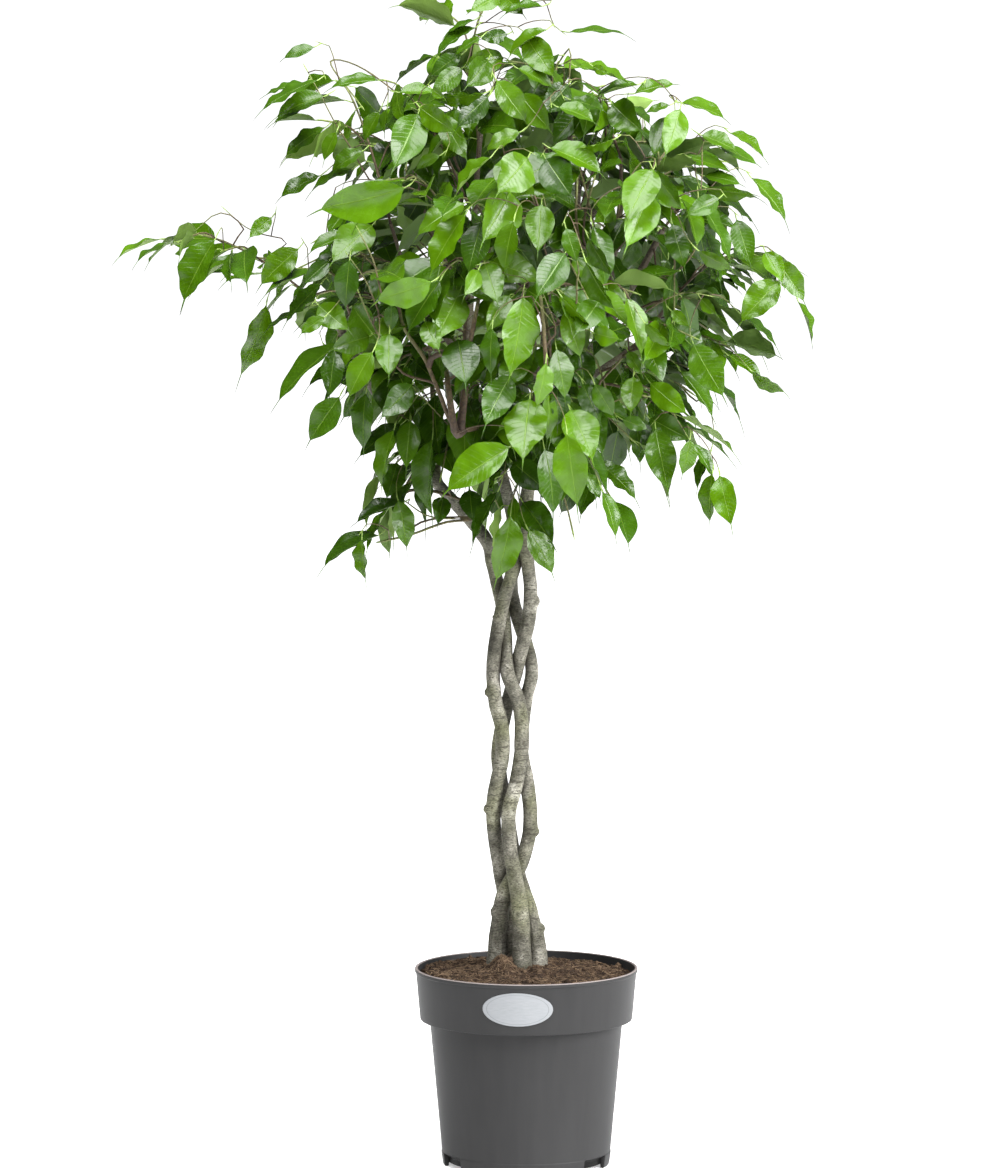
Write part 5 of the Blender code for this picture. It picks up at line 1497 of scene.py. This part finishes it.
def twig_material():
    """Twig bark: brown and finely wrinkled, turning green towards the bud."""
    material, node, shader = new_material("twig_bark")
    grain = noise(node, object_place(node), 420.0)
    base = ramp(node, attribute(node, "youth"), (
        (0.0, (0.052, 0.034, 0.022)), (0.50, (0.085, 0.062, 0.032)), (0.85, (0.130, 0.150, 0.045)),
        (1.0, (0.240, 0.360, 0.070))))
    dress(shader, times(node, base, grain, (0.3, 0.50), (0.7, 1.45)), 0.62, 0.30,
          bump(node, grain, 0.4, 0.0006))
    return material


def bark_material():
    """Fig bark: grey-olive and blotched, with dark lenticels and ring lines, and painted shade in the crevices
    between the stems.
    """
    material, node, shader = new_material("fig_bark")
    place = object_place(node)
    blotch = noise(node, place, 45.0, 4.0, 0.6)
    flat_place = scaled(node, place, 2.2)
    grain = noise(node, flat_place, 420.0, 4.0, 0.7)
    rings = greys(node, noise(node, scaled(node, place, 9.0), 42.0, 4.0, 0.6), (0.60, 0), (0.66, 0.75))
    base = ramp(node, blotch, ((0.30, (0.037, 0.035, 0.026)), (0.44, (0.092, 0.088, 0.067)),
                               (0.57, (0.166, 0.158, 0.127)), (0.72, (0.370, 0.355, 0.305))))
    moss = greys(node, noise(node, place, 14.0, 2.0), (0.50, 0), (0.68, 0.55))
    mossy = mix_colour(node, moss, base, (0.165, 0.175, 0.075))
    grained = times(node, mossy, grain, (0.28, 0.18), (0.48, 0.88), (0.72, 1.70))
    ringed = mix_colour(node, rings, grained, (0.052, 0.046, 0.034))
    fine = greys(node, cells(node, flat_place, 300.0), (0.16, 0.80), (0.28, 0))
    broad = greys(node, cells(node, flat_place, 150.0), (0.11, 1.0), (0.20, 0))
    spots = math_node(node, "MAXIMUM", fine, broad)
    spotted = mix_colour(node, spots, ringed, (0.040, 0.034, 0.024))
    # painted shade: the bark is darkened towards near black where stems press together
    shaded = tinge(node, attribute(node, "crevice_shade"), 0.92, spotted, (0.022, 0.018, 0.012))
    young = tinge(node, attribute(node, "youth"), 0.75, shaded, (0.105, 0.072, 0.046))
    relief = math_node(node, "MULTIPLY_ADD", grain, 0.8, math_node(node, "MULTIPLY", spots, -0.6))
    relief = math_node(node, "MULTIPLY_ADD", rings, -0.8, relief)
    dress(shader, young, 0.78, 0.30, bump(node, relief, 0.8, 0.0012))
    return material


def pot_material():
    """Injection-moulded polypropylene: dark grey, satin, with a fine grain, faint cloudy patches and streaks,
    a painted highlight along the top of the rim and painted shade in the recesses between the feet.
    """
    material, node, shader = new_material("moulded_plastic")
    place = object_place(node)
    cloud = noise(node, place, 9.0)
    grain = noise(node, place, 1300.0, 2.0)
    streak = noise(node, scaled(node, place, 0.12), 90.0)
    base = ramp(node, cloud, ((0.3, (0.031, 0.0308, 0.0312)), (0.7, (0.035, 0.0348, 0.0352))))
    streaked = times(node, base, streak, (0.35, 0.96), (0.65, 1.03))
    height = node("ShaderNodeSeparateXYZ", {0: place}).outputs[2]
    # painted highlight: the top of the rim is lightened to pale grey
    lip = math_node(node, "GREATER_THAN", height, RIM_TOP - 0.0007)
    painted_rim_highlight = tinge(node, lip, 0.8, streaked, (0.27, 0.235, 0.225))
    # painted shade: the recesses in the gaps between the feet are darkened almost to black
    dress(shader, mix_colour(node, attribute(node, "painted_recess_shade"), painted_rim_highlight, grey(0.006)),
          greys(node, cloud, (0.3, 0.42), (0.7, 0.50)), 0.08, bump(node, grain, 0.10, 0.0004))
    return material


def label_material():
    """Silver-white film with a plain fine line inside its edge."""
    material, node, shader = new_material("label_film_fine")
    uv = node("ShaderNodeUVMap", uv_map="UVMap").outputs[0]
    edge = node("ShaderNodeSeparateXYZ", {0: uv}).outputs[0]
    line = greys(node, edge, (0.865, 0), (0.872, 1), (0.888, 1), (0.895, 0))
    brushed = noise(node, scaled(node, object_place(node), 14.0), 160.0, 2.0)
    streaks = ramp(node, brushed, ((0.3, (0.220, 0.230, 0.241)), (0.7, (0.255, 0.265, 0.276))))
    dress(shader, tinge(node, line, 0.75, streaks, (0.140, 0.147, 0.158)), 0.45, 0.30)
    return material


def peat_material():
    """Moist peat: dark and reddish brown crumbs with paler fibres."""
    material, node, shader = new_material("peat_fine")
    place = object_place(node)
    patches = noise(node, place, 120.0, 4.0, 0.7)
    crumbs = noise(node, place, 900.0, 3.0, 0.7)
    base = ramp(node, patches, ((0.30, (0.009, 0.0055, 0.0035)), (0.5, (0.031, 0.0180, 0.0110)),
                                (0.72, (0.070, 0.0420, 0.0250))))
    toned = times(node, base, crumbs, (0.3, 0.25), (0.7, 1.6))
    dress(shader, mix_colour(node, attribute(node, "shade"), toned, (0.235, 0.160, 0.100)), 0.93, 0.20,
          bump(node, crumbs, 0.7, 0.002))
    return material


# Pieces

def value_noise(points, scale, seed):
    """Smooth noise: random values from -1 to 1 on a lattice of `scale` points per metre, blended smoothly.

    Between two points of the lattice the value goes from one to the other as 3t^2 - 2t^3.
    """
    table = np.random.default_rng(seed).uniform(-1, 1, 4096)
    place = points * scale
    cell = np.floor(place).astype(int)
    t = place - cell
    t = t * t * (3 - 2 * t)
    total = 0
    for corner in range(8):
        step = np.array([corner & 1, corner >> 1 & 1, corner >> 2 & 1])
        key = ((cell + step) * np.array([73, 157, 311])).sum(axis=-1) % len(table)
        total = total + table[key] * np.where(step, t, 1 - t).prod(axis=-1)
    return total


def build_foliage(groups, material):
    """The leaves, in groups of neighbouring sprays: each group is one piece and stands for its sprays."""
    for number, (names, leaves, tones_and_painted_light) in enumerate(groups):
        grid, uv = leaf_grid(leaves, FOLIAGE_SEED + number)
        part = {"grid": grid, "uv": uv, "attributes": {"tone_and_painted_light": tones_and_painted_light[:, None, None]},
                "back": len(TOP_MARKS) - 1}
        thing = piece(f"foliage_{number + 1:02d}", [part], [material])
        thing.data.set_sharp_from_angle(angle=MARGIN_ANGLE)
        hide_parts(*names)


def leaf_tones_and_painted_light(leaves, seed):
    """How light each leaf is: its own, or else more so further out and higher, with a random share; the
    lighter outside is painted light and the darker inside painted shade, over each leaf's own tone.
    """
    rng = np.random.default_rng(seed)
    middle = np.array([leaf.root + leaf.ways[1] * leaf.length * 0.5 for leaf in leaves]) - CROWN_MIDDLE
    outer = np.linalg.norm(middle / CROWN_HALVES, axis=1)
    light = PAINTED_LIGHT_OUT * np.clip(outer - PAINTED_LIGHT_START, 0, 1) + PAINTED_LIGHT_UP * middle[:, 2] / CROWN_HALVES[2]
    drawn = np.clip(light + rng.beta(*TINT_SPREAD, len(leaves)) * TINT_RANDOM, 0, 1)
    return np.array([own if leaf.light is None else leaf.light for leaf, own in zip(leaves, drawn)])


def build_twigs(twigs, material):
    """All fine twigs of the crown, each a closed tube with buds."""
    parts = []
    for path, radii, buds in twigs:
        grid, share = twig_grid(path, radii, buds)
        thin = 1 - np.interp(share, np.linspace(0, 1, len(radii)), radii) / THICKEST_TWIG
        youth = np.clip(share * 0.75 + thin * 0.25, 0, 1)
        parts.append({"grid": grid, "attributes": {"youth": youth[None, :, None]}})
    return piece("twigs", parts, [material])


def wood_grid(path, radii, sides, seed, knobs=(), flare=0.0, foot=0.0):
    """A branch as (1, rings, sides, 3), its radius varied by noise round and along it.

    The radius is r (1 + 0.07 n1 + 0.035 n2) with two noises n1 and n2 of the place. At each knob a lump of
    exp(-(d / 3.6)^4) less a dimple of exp(-(d / 1.8)^4) is added, with d the distance to the knob, and at
    the root and at the soil a flare that falls off as exp(-d / reach).
    """
    ring = section(*path_frames(path), sides)
    rough = path[:, None] + ring * radii[:, None, None]
    swell = 1
    for k, (share, scale) in enumerate(BARK_NOISES):
        swell = swell + share * value_noise(rough * MM, scale, seed + k)
    reach = radii[:, None] * swell
    along = lengths_along(path)[:, None]
    reach = reach + radii[:, None] * flare * np.exp(-along / FLARE_REACH)
    above_soil = np.clip(path[:, 2:] - SOIL_CROWN_Z / MM, 0, None)
    reach = reach + foot * np.exp(-above_soil / FOOT_FLARE_REACH)
    for place in knobs:
        distance = np.linalg.norm(rough - place, axis=2)
        reach = reach + KNOB_HEIGHT * np.exp(-(distance / KNOB_RADIUS) ** 4)
        reach = reach - KNOB_DIMPLE * np.exp(-(distance / KNOB_DIMPLE_RADIUS) ** 4)
    return (path[:, None] + ring * reach[..., None])[None]


def crevices(grid, name, stems):
    """How near each point of a stem lies to another, which the bark darkens as painted shade: 1 where they
    touch, 0 from CREVICE_REACH off.
    """
    points = grid.reshape(-1, 3)
    gap = np.full(len(points), 99.0)
    for other, line in stems.items():
        if other != name:
            line = smooth_path(line, 4)
            near = np.linalg.norm(points[:, None] - line[None], axis=2) - stem_radius(line[:, 2])[None]
            gap = np.minimum(gap, near.min(axis=1))
    return (1 - smoothstep(CREVICE_START, CREVICE_REACH, gap)).reshape(grid.shape[:3])


def build_stems(stems, limbs, material):
    """The four plaited stems with their limbs and knobs, each stem one piece."""
    for number, (name, line) in enumerate(stems.items()):
        path = smooth_path(line, 3.0)
        knobs = []
        for stem, height, degrees in KNOBS:
            if stem == name:
                middle = np.array([np.interp(height, path[:, 2], path[:, k]) for k in range(2)] + [height])
                angle = math.radians(degrees)
                knobs.append(middle + stem_radius(height) * np.array([math.cos(angle), math.sin(angle), 0]))
        above_plait = smoothstep(PLAIT_TOP, PLAIT_TOP + SWELL_END, path[:, 2])
        radii = stem_radius(path[:, 2]) * lerp(STEM_SWELL, 1.0, above_plait)
        grid = wood_grid(path, radii, STEM_SIDES, STEM_SEED + number, knobs, foot=STEM_FOOT_FLARE)
        youth = np.clip((path[:, 2] - OLD_BARK_TOP) / YOUNG_BARK_REACH, 0, 1)[None, :, None]
        parts = [{"grid": grid, "attributes": {"crevice_shade": crevices(grid, name, stems), "youth": youth}}]
        for k, (stem, centre, radii) in enumerate(limbs):
            if stem != name:
                continue
            fine = smooth_path(centre, 4.0)
            share = lengths_along(fine) / lengths_along(fine)[-1]
            thick = np.interp(share, np.linspace(0, 1, len(radii)), radii)
            grid = wood_grid(fine, thick, LIMB_SIDES, LIMB_SEED + k, flare=LIMB_FLARE)
            youth = np.linspace(0.25, 1.0, len(fine))[None, :, None]
            parts.append({"grid": grid, "attributes": {"crevice_shade": 0, "youth": youth}})
        thing = piece(f"plaited_stem_{name}", parts, [material])
        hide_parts(f"stem_{name}")


def turned_grid(profile, angles):
    """A profile of (radius, height) in metres carried round Z: (1, points, angles, 3), in millimetres."""
    profile = np.asarray(profile)
    radius, height = profile[:, 0, None], profile[:, 1, None]
    around = np.stack([radius * np.cos(angles), radius * np.sin(angles), height + 0 * angles], axis=-1)
    return around[None] / MM


def rounded(points, radius, steps=5):
    """A profile whose inner corners are quadratic curves, each from `radius` before it to as far after."""
    points = np.asarray(points, float)
    out = [points[0]]
    t = np.linspace(0, 1, steps)[:, None]
    for before, corner, after in zip(points, points[1:], points[2:]):
        reach = min(radius, 0.45 * np.linalg.norm(corner - before), 0.45 * np.linalg.norm(after - corner))
        start = corner + unit(before - corner) * reach
        end = corner + unit(after - corner) * reach
        out.extend((1 - t) ** 2 * start + 2 * (1 - t) * t * corner + t ** 2 * end)
    return np.array(out + [points[-1]])


def wall_radius(height):
    """The radius of the pot's wall at a height below the collar."""
    return lerp(FOOT_RADIUS, BODY_TOP_RADIUS, height / COLLAR_BOTTOM)


def build_pot(material):
    """The pot: a rounded profile carried round Z, with gaps between three feet.

    In a gap the foot's stretch of the profile runs up the recessed ring and out under the wall instead:
    each of its points takes the place that lies the same share of the way along that other line.
    """
    inner_rim = RIM_RADIUS - LIP_PROUD - WALL
    ledge = FOOT_HEIGHT + WALL
    foot_top = wall_radius(FOOT_HEIGHT)
    base = ((HUB_RADIUS * AXIS_SHARE, 0), (HUB_RADIUS, 0), (HUB_RADIUS, BASE_Z), (RING_RADIUS, BASE_Z))
    foot = ((RING_RADIUS, 0), (FOOT_RADIUS, 0), (foot_top + FOOT_PROUD, FOOT_HEIGHT - FOOT_PROUD))
    wall = ((foot_top, FOOT_HEIGHT + FOOT_PROUD), (wall_radius(COLLAR_BOTTOM / 2), COLLAR_BOTTOM / 2),
            (BODY_TOP_RADIUS, COLLAR_BOTTOM), (COLLAR_BOTTOM_RADIUS, COLLAR_BOTTOM))
    lip = ((RIM_RADIUS - LIP_PROUD, RIM_TOP - LIP_HEIGHT), (RIM_RADIUS, RIM_TOP - LIP_HEIGHT + LIP_CORNER),
           (RIM_RADIUS, RIM_TOP), (inner_rim, RIM_TOP))
    inside = ((COLLAR_BOTTOM_RADIUS - WALL, COLLAR_BOTTOM + WALL),
              (BODY_TOP_RADIUS - WALL, COLLAR_BOTTOM + WALL), (wall_radius(ledge) - WALL, ledge),
              (RING_RADIUS - WALL, ledge), (RING_RADIUS - WALL, FLOOR_TOP),
              (HUB_RADIUS * AXIS_SHARE, FLOOR_TOP))
    profile = rounded(base + foot + wall + lip + inside, CORNER_RADIUS)
    middles = [FIRST_GAP + k * 2 * math.pi / FEET for k in range(FEET)]
    edges = [middle + side * GAP_ANGLE / 2 for middle in middles for side in (-1, 1)]
    slopes = [(edge + side * GAP_SLOPE) % (2 * math.pi) for edge in edges for side in (-1, 1)]
    angles = np.sort(np.concatenate([np.linspace(0, 2 * math.pi, POT_SIDES, endpoint=False), slopes]))
    grid = turned_grid(profile, angles)
    turn = (angles - FIRST_GAP + math.pi / FEET) % (2 * math.pi / FEET) - math.pi / FEET
    gap = np.abs(turn) < GAP_ANGLE / 2
    outer = np.flatnonzero((profile[:, 0] > RING_RADIUS - RING_MARGIN) & (profile[:, 1] < FOOT_HEIGHT))
    outer = outer[outer < len(profile) // 2]
    run = lengths_along(np.array(profile[outer]))
    line = np.array([(RING_RADIUS, BASE_Z), (RING_RADIUS, FOOT_HEIGHT), (foot_top, FOOT_HEIGHT)])
    marks = run / run[-1] * lengths_along(line)[-1]
    raised = np.column_stack([np.interp(marks, lengths_along(line), line[:, k]) for k in range(2)])
    grid[0, outer[:, None], np.flatnonzero(gap)[None]] = turned_grid(raised, angles[gap])[0]
    # the recess's points in the gaps carry painted shade
    painted_recess_shade = np.zeros(grid.shape[:3])
    painted_recess_shade[0, outer[:, None], np.flatnonzero(gap)[None]] = 1
    thing = piece("pot_shell", [{"grid": grid, "attributes": {"painted_recess_shade": painted_recess_shade}}], [material])
    thing.data.set_sharp_from_angle(angle=EDGE_ANGLE)
    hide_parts("pot")


def build_label(material):
    """The oval label: rings from its middle to its rim, bent round the collar, and back under it."""
    rings = np.array([0.02, 0.3, 0.6, 0.8, 0.9, 0.96, 0.99, 1.0])
    angle = np.linspace(0, 2 * math.pi, 96, endpoint=False)
    share = np.concatenate([rings, rings[::-1]])[:, None]
    proud = np.concatenate([np.full(len(rings) - 1, LABEL_THICKNESS), [LABEL_THICKNESS * 0.6],
                            [LABEL_THICKNESS * 0.3], np.zeros(len(rings) - 1)])[:, None]
    across = LABEL_WIDTH / 2 * share * np.cos(angle)
    height = LABEL_Z + LABEL_HEIGHT / 2 * share * np.sin(angle)
    slope = (height - COLLAR_BOTTOM) / (RIM_TOP - LIP_HEIGHT - COLLAR_BOTTOM)
    radius = lerp(COLLAR_BOTTOM_RADIUS, RIM_RADIUS - LIP_PROUD, slope) + FIT_GAP * 0.3 + proud
    turn = across / radius + LABEL_TURN
    grid = np.stack([radius * np.sin(turn), -radius * np.cos(turn), height], axis=-1)[None] / MM
    uv = np.broadcast_to(share[None, :, :, None], (1, len(share), len(angle) + 1, 2))
    thing = piece("label_plate", [{"grid": grid, "uv": uv}], [material])
    thing.data.set_sharp_from_angle(angle=EDGE_ANGLE)
    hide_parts("label")


def soil_height(radius):
    """The soil's surface: level at the pot's wall and rising towards the stems."""
    share = np.minimum(radius / COLLAR_BOTTOM_RADIUS, 1.0)
    return lerp(SOIL_CROWN_Z, SOIL_EDGE_Z, share ** SOIL_FALL)


def soil_surface(x, y):
    """The height of the rough soil: the tilted mound, a pile as exp(-d^2 / 2 s^2) and two noises."""
    place = np.stack([x, y, 0 * x], axis=-1)
    smooth = soil_height(np.hypot(x, y)) - SOIL_TILT * x / RIM_RADIUS
    off = (x - PILE_AT[0]) ** 2 + (y - PILE_AT[1]) ** 2
    height = smooth + PILE_HEIGHT * np.exp(-off / (2 * PILE_REACH ** 2))
    for depth, scale, seed in SOIL_NOISES:
        height = height + depth * value_noise(place, scale, seed)
    return height


def build_soil(material):
    """The soil: a rough mound over a closed body, with crumbs and fibres lying on it."""
    edge = lerp(COLLAR_BOTTOM_RADIUS, RIM_RADIUS - LIP_PROUD,
                (SOIL_EDGE_Z - COLLAR_BOTTOM) / (RIM_TOP - COLLAR_BOTTOM)) - WALL - FIT_GAP
    ledge = FOOT_HEIGHT + WALL + FIT_GAP
    collar = COLLAR_BOTTOM + WALL * SOIL_LIFT
    inset = WALL * SOIL_INSET
    angles = np.linspace(0, 2 * math.pi, SOIL_SIDES, endpoint=False)
    radius = np.concatenate([[SOIL_MIDDLE], np.linspace(SOIL_FIRST_RING, edge, SOIL_RINGS)])[:, None]
    x, y = radius * np.cos(angles), radius * np.sin(angles)
    top = np.stack([x, y, soil_surface(x, y)], axis=-1)
    below = turned_grid([(COLLAR_BOTTOM_RADIUS - inset, collar), (BODY_TOP_RADIUS - inset, collar),
                         (wall_radius(ledge) - inset, ledge), (RING_RADIUS - inset, ledge),
                         (RING_RADIUS - inset, FLOOR_TOP + FIT_GAP), (SOIL_MIDDLE, FLOOR_TOP + FIT_GAP)],
                        angles)[0]
    grid = np.concatenate([top / MM, below])[None]
    thing = peat_piece("soil_mound", grid, np.zeros(1), material)
    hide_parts("soil")

    rng = np.random.default_rng(SOIL_SEED)
    x, y = scattered(CRUMBS, edge - CRUMB_MARGIN, rng)
    size = rng.gamma(*CRUMB_SPREAD, CRUMBS)[:, None, None] + LEAST_CRUMB
    lumps = lump_grid(np.stack([x, y, soil_surface(x, y)], axis=-1) / MM, size, rng)
    peat_piece("soil_crumbs", lumps, rng.beta(*CRUMB_SHADES, CRUMBS) * PALEST_CRUMB, material)

    x, y = scattered(FIBRES, edge - FIBRE_MARGIN, rng)
    piled = np.arange(FIBRES) < PILE_FIBRES
    x = np.where(piled, PILE_AT[0] + (x - PILE_AT[0]) * PILE_SPREAD, x)
    y = np.where(piled, PILE_AT[1] + (y - PILE_AT[1]) * PILE_SPREAD, y)
    start = np.stack([x, y, soil_surface(x, y) + FIBRE_LIFT], axis=-1) / MM
    lengths = rng.uniform(*FIBRE_LENGTHS, FIBRES)
    fibres = fibre_grid(start, lengths, rng.uniform(*FIBRE_RADII, FIBRES), rng)
    peat_piece("soil_fibres", fibres, rng.uniform(*FIBRE_SHADES, FIBRES), material)


def scattered(count, reach, rng):
    """Places spread evenly over a disc: sqrt(u) of its reach from the middle, at any angle."""
    far = np.sqrt(rng.uniform(0, 1, count)) * reach
    turn = rng.uniform(0, 2 * math.pi, count)
    return far * np.cos(turn), far * np.sin(turn)


def peat_piece(name, grid, shades, material):
    """A piece of peat from closed lofts, with how pale each of them is."""
    return piece(name, [{"grid": grid, "attributes": {"shade": shades[:, None, None]}}], [material])


def lump_grid(centres, size, rng):
    """Small lumps, (count, 4, 5, 3): a ball's rings, each point moved in or out at random, and flattened."""
    count = len(centres)
    latitude = CRUMB_LATITUDES[None, :, None]
    angle = np.arange(5)[None, None, :] * 2 * math.pi / 5 + rng.uniform(0, 6.3, (count, 1, 1))
    reach = size * rng.uniform(*CRUMB_ROUGHNESS, (count, 4, 5))
    stretch = rng.uniform(*CRUMB_STRETCH, (count, 1, 1))
    ball = np.stack([np.cos(latitude) * np.cos(angle) * reach * stretch,
                     np.cos(latitude) * np.sin(angle) * reach,
                     np.sin(latitude) * reach * rng.uniform(*CRUMB_FLATNESS, (count, 1, 1))], axis=-1)
    turn = rng.uniform(0, 6.3, count)
    cos, sin = np.cos(turn)[:, None, None], np.sin(turn)[:, None, None]
    spun = np.stack([ball[..., 0] * cos - ball[..., 1] * sin, ball[..., 0] * sin + ball[..., 1] * cos,
                     ball[..., 2]], axis=-1)
    return centres[:, None, None] + spun


def fibre_grid(start, length, radius, rng):
    """Thin bent fibres, (count, 5, 4, 3): a square section carried along an arc that lies on the soil."""
    count = len(start)
    turn = rng.uniform(0, 2 * math.pi, count)
    bend = rng.uniform(-FIBRE_BEND, FIBRE_BEND, count)
    share = np.linspace(0, 1, 5)[None, :]
    way = turn[:, None] + bend[:, None] * share
    x = start[:, None, 0] + length[:, None] * share * np.cos(way)
    y = start[:, None, 1] + length[:, None] * share * np.sin(way)
    inside = np.minimum(1, FIBRE_LIMIT / np.hypot(x, y))
    x, y = x * inside, y * inside
    z = soil_surface(x * MM, y * MM) / MM + rng.uniform(*FIBRE_HEIGHTS, (count, 5))
    path = np.stack([x, y, z], axis=-1)
    forward = units(np.gradient(path, axis=1))
    over = units(np.cross(forward, np.array([0, 0, 1.0])))
    above = np.cross(over, forward)
    thin = (radius[:, None] * FIBRE_TAPER)[:, :, None, None]
    return path[:, :, None] + section(over, above, 4) * thin


def build_roots(material):
    """Surface roots and scraps round the stems' feet: bent tapering tubes that dive into the soil."""
    rng = np.random.default_rng(ROOT_SEED)
    parts = []
    for k in range(ROOTS):
        turn = rng.uniform(0, 2 * math.pi)
        near, far = rng.uniform(*ROOT_STARTS), rng.uniform(*ROOT_ENDS)
        way = turn + rng.uniform(-ROOT_BEND, ROOT_BEND)
        points = []
        for share in np.linspace(0, 1, 5):
            spot = lerp(near * np.array([math.cos(turn), math.sin(turn)]),
                        far * np.array([math.cos(way), math.sin(way)]), share) + ROOTS_MIDDLE
            level = soil_surface(np.array(spot[0] * MM), np.array(spot[1] * MM)) / MM
            points.append((*spot, level + (1 - share) * rng.uniform(*ROOT_LIFTS) - share * ROOT_DIVE))
        path = smooth_path(points, 3)
        radii = np.linspace(rng.uniform(*ROOT_RADII), ROOT_TIP_RADIUS, len(path))
        grid = wood_grid(path, radii, ROOT_SIDES, ROOT_BARK_SEED + k)
        # each root is darkened by a random share of the bark's crevice colour
        parts.append({"grid": grid, "attributes": {"crevice_shade": rng.uniform(*ROOT_CREVICES),
                                                   "youth": rng.uniform(*ROOT_YOUTHS)}})
    piece("surface_roots", parts, [material])


def grow_plant():
    """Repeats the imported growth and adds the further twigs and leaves.

    Returns the stems, the limbs, the twigs and the groups of leaves.
    """
    stems = plait()
    limbs = limb_lines(stems)
    crown = Crown()
    for line in stems.values():
        crown.add([tube(line, stem_radius(line[:, 2]) + CLEARANCE, 8)])
    for _, path, radii in limbs:
        crown.add([tube(path, radii + CLEARANCE, 8)])
    bases = spray_bases(stems, limbs)
    sprays = []
    for index, (base, tip) in enumerate(zip(bases, SPRAY_TIPS)):
        twigs, leaves = grow_spray(index, base, np.array(tip, float), crown)
        tubes = [tube(path, radii, 4) for path, radii in twigs]
        crown.add(tubes + [plain_leaf(*placed) for placed in leaves])
        sprays.append((twigs, leaves))
    size = len(sprays) // FOLIAGE_GROUPS
    middles = [np.mean([leaf[0] for _, leaves in sprays[start:start + size] for leaf in leaves], axis=0)
               for start in range(0, len(sprays), size)]
    middles = np.array(middles)
    grouped = [[] for _ in middles]

    def nearest(point):
        return grouped[int(np.linalg.norm(middles - point, axis=1).argmin())]

    face_leaves, face_twigs = front_foliage(stems, limbs, sprays, crown)
    fine_twigs = [(path, radii, ()) for path, radii in face_twigs]
    for leaf in face_leaves:
        nearest(leaf.root).append(leaf)
    for index, (twigs, leaves) in enumerate(sprays):
        added, more = more_foliage(index, twigs, crown)
        grouped[index // size] += [Leaf(*leaf) for leaf in leaves]
        grouped[index // size] += more
        fine_twigs += [(path, radii, MAIN_LEAVES + BETWEEN_LEAVES) for path, radii in twigs + added]
    for (path, radii), leaves in inner_twigs(stems, limbs, bases, crown):
        nearest(path[-1]).extend(leaves)
        fine_twigs.append((path, radii, INNER_LEAVES))
    twig_places = [smooth_path(path, WOOD_STEP) for path, _, _ in fine_twigs]
    far_leaves, far_twigs = fill_gaps(np.vstack([wood_places(stems, limbs)[0], *twig_places]), crown)
    fine_twigs += [(path, radii, ()) for path, radii in far_twigs]
    for leaf in far_leaves:
        nearest(leaf.root).append(leaf)
    groups = []
    for n, leaves in enumerate(grouped):
        names = [f"spray_{k + 1:02d}" for k in range(n * size, (n + 1) * size)]
        groups.append((names, leaves, leaf_tones_and_painted_light(leaves, TINT_SEED + n)))
    return stems, limbs, fine_twigs, groups


stems, limbs, fine_twigs, groups = grow_plant()
build_foliage(groups, leaf_material())
build_twigs(fine_twigs, twig_material())
bark = bark_material()
build_stems(stems, limbs, bark)
build_roots(bark)
build_pot(pot_material())
build_label(label_material())
build_soil(peat_material())

# Stage: floor, world, lights and camera, metres
CAMERA_LENS = 264.9
FLOOR_REACH = 40.0
FLOOR_GLOW = {1: -0.5, 2: 0.8, 3: 0.12, 4: 0.95}
SKY_SIDES = {1: -0.8, 2: 0.8, 3: 0.15, 4: 1.7}

floor_mesh = bpy.data.meshes.new("studio_floor")
corners = ((-1, -1), (1, -1), (1, 1), (-1, 1))
floor_mesh.from_pydata([(x * FLOOR_REACH, y * FLOOR_REACH, 0) for x, y in corners], [], [(0, 1, 2, 3)])
floor_material, node, shader = new_material("pale_floor")
depth = node("ShaderNodeSeparateXYZ", {0: object_place(node)}).outputs[1]
plug(shader.inputs["Base Color"], grey(0.82))
plug(shader.inputs["Roughness"], 0.9)
plug(shader.inputs["Emission Color"], grey(1))
# The floor glows, faintly in front and nearly white behind the plant: painted light that also lights the plant
# from below.
plug(shader.inputs["Emission Strength"], node("ShaderNodeMapRange", {0: depth, **FLOOR_GLOW}).outputs[0])
floor_mesh.materials.append(floor_material)
floor = put("studio_floor", floor_mesh)

world = bpy.data.worlds.new("studio")
bpy.context.scene.world = world
world.use_nodes = True
node = node_maker(world.node_tree)
split = node("ShaderNodeSeparateXYZ", {0: node("ShaderNodeTexCoord").outputs["Generated"]}).outputs
sky = world.node_tree.nodes["Background"].inputs
plug(sky[0], ramp(node, split[2], ((0.0, (0.10, 0.10, 0.105)), (1.0, (0.34, 0.35, 0.37)))))
plug(sky[1], node("ShaderNodeMapRange", {0: split[0], **SKY_SIDES}).outputs[0])

for name, (place, size, watts) in LIGHTS.items():
    lamp = bpy.data.lights.new(name, "AREA")
    lamp.shape = "SQUARE"
    lamp.size = size
    lamp.energy = watts
    put(name, lamp, place, LIGHTS_AIM)

camera = bpy.data.cameras.new("camera")
camera.sensor_fit = "VERTICAL"
camera.sensor_height = 36
camera.lens = CAMERA_LENS
camera.clip_end = 200
viewer = put("camera", camera, CAMERA_AT, CAMERA_AIM)
bpy.context.scene.camera = viewer
bpy.context.scene.view_settings.view_transform = "Standard"
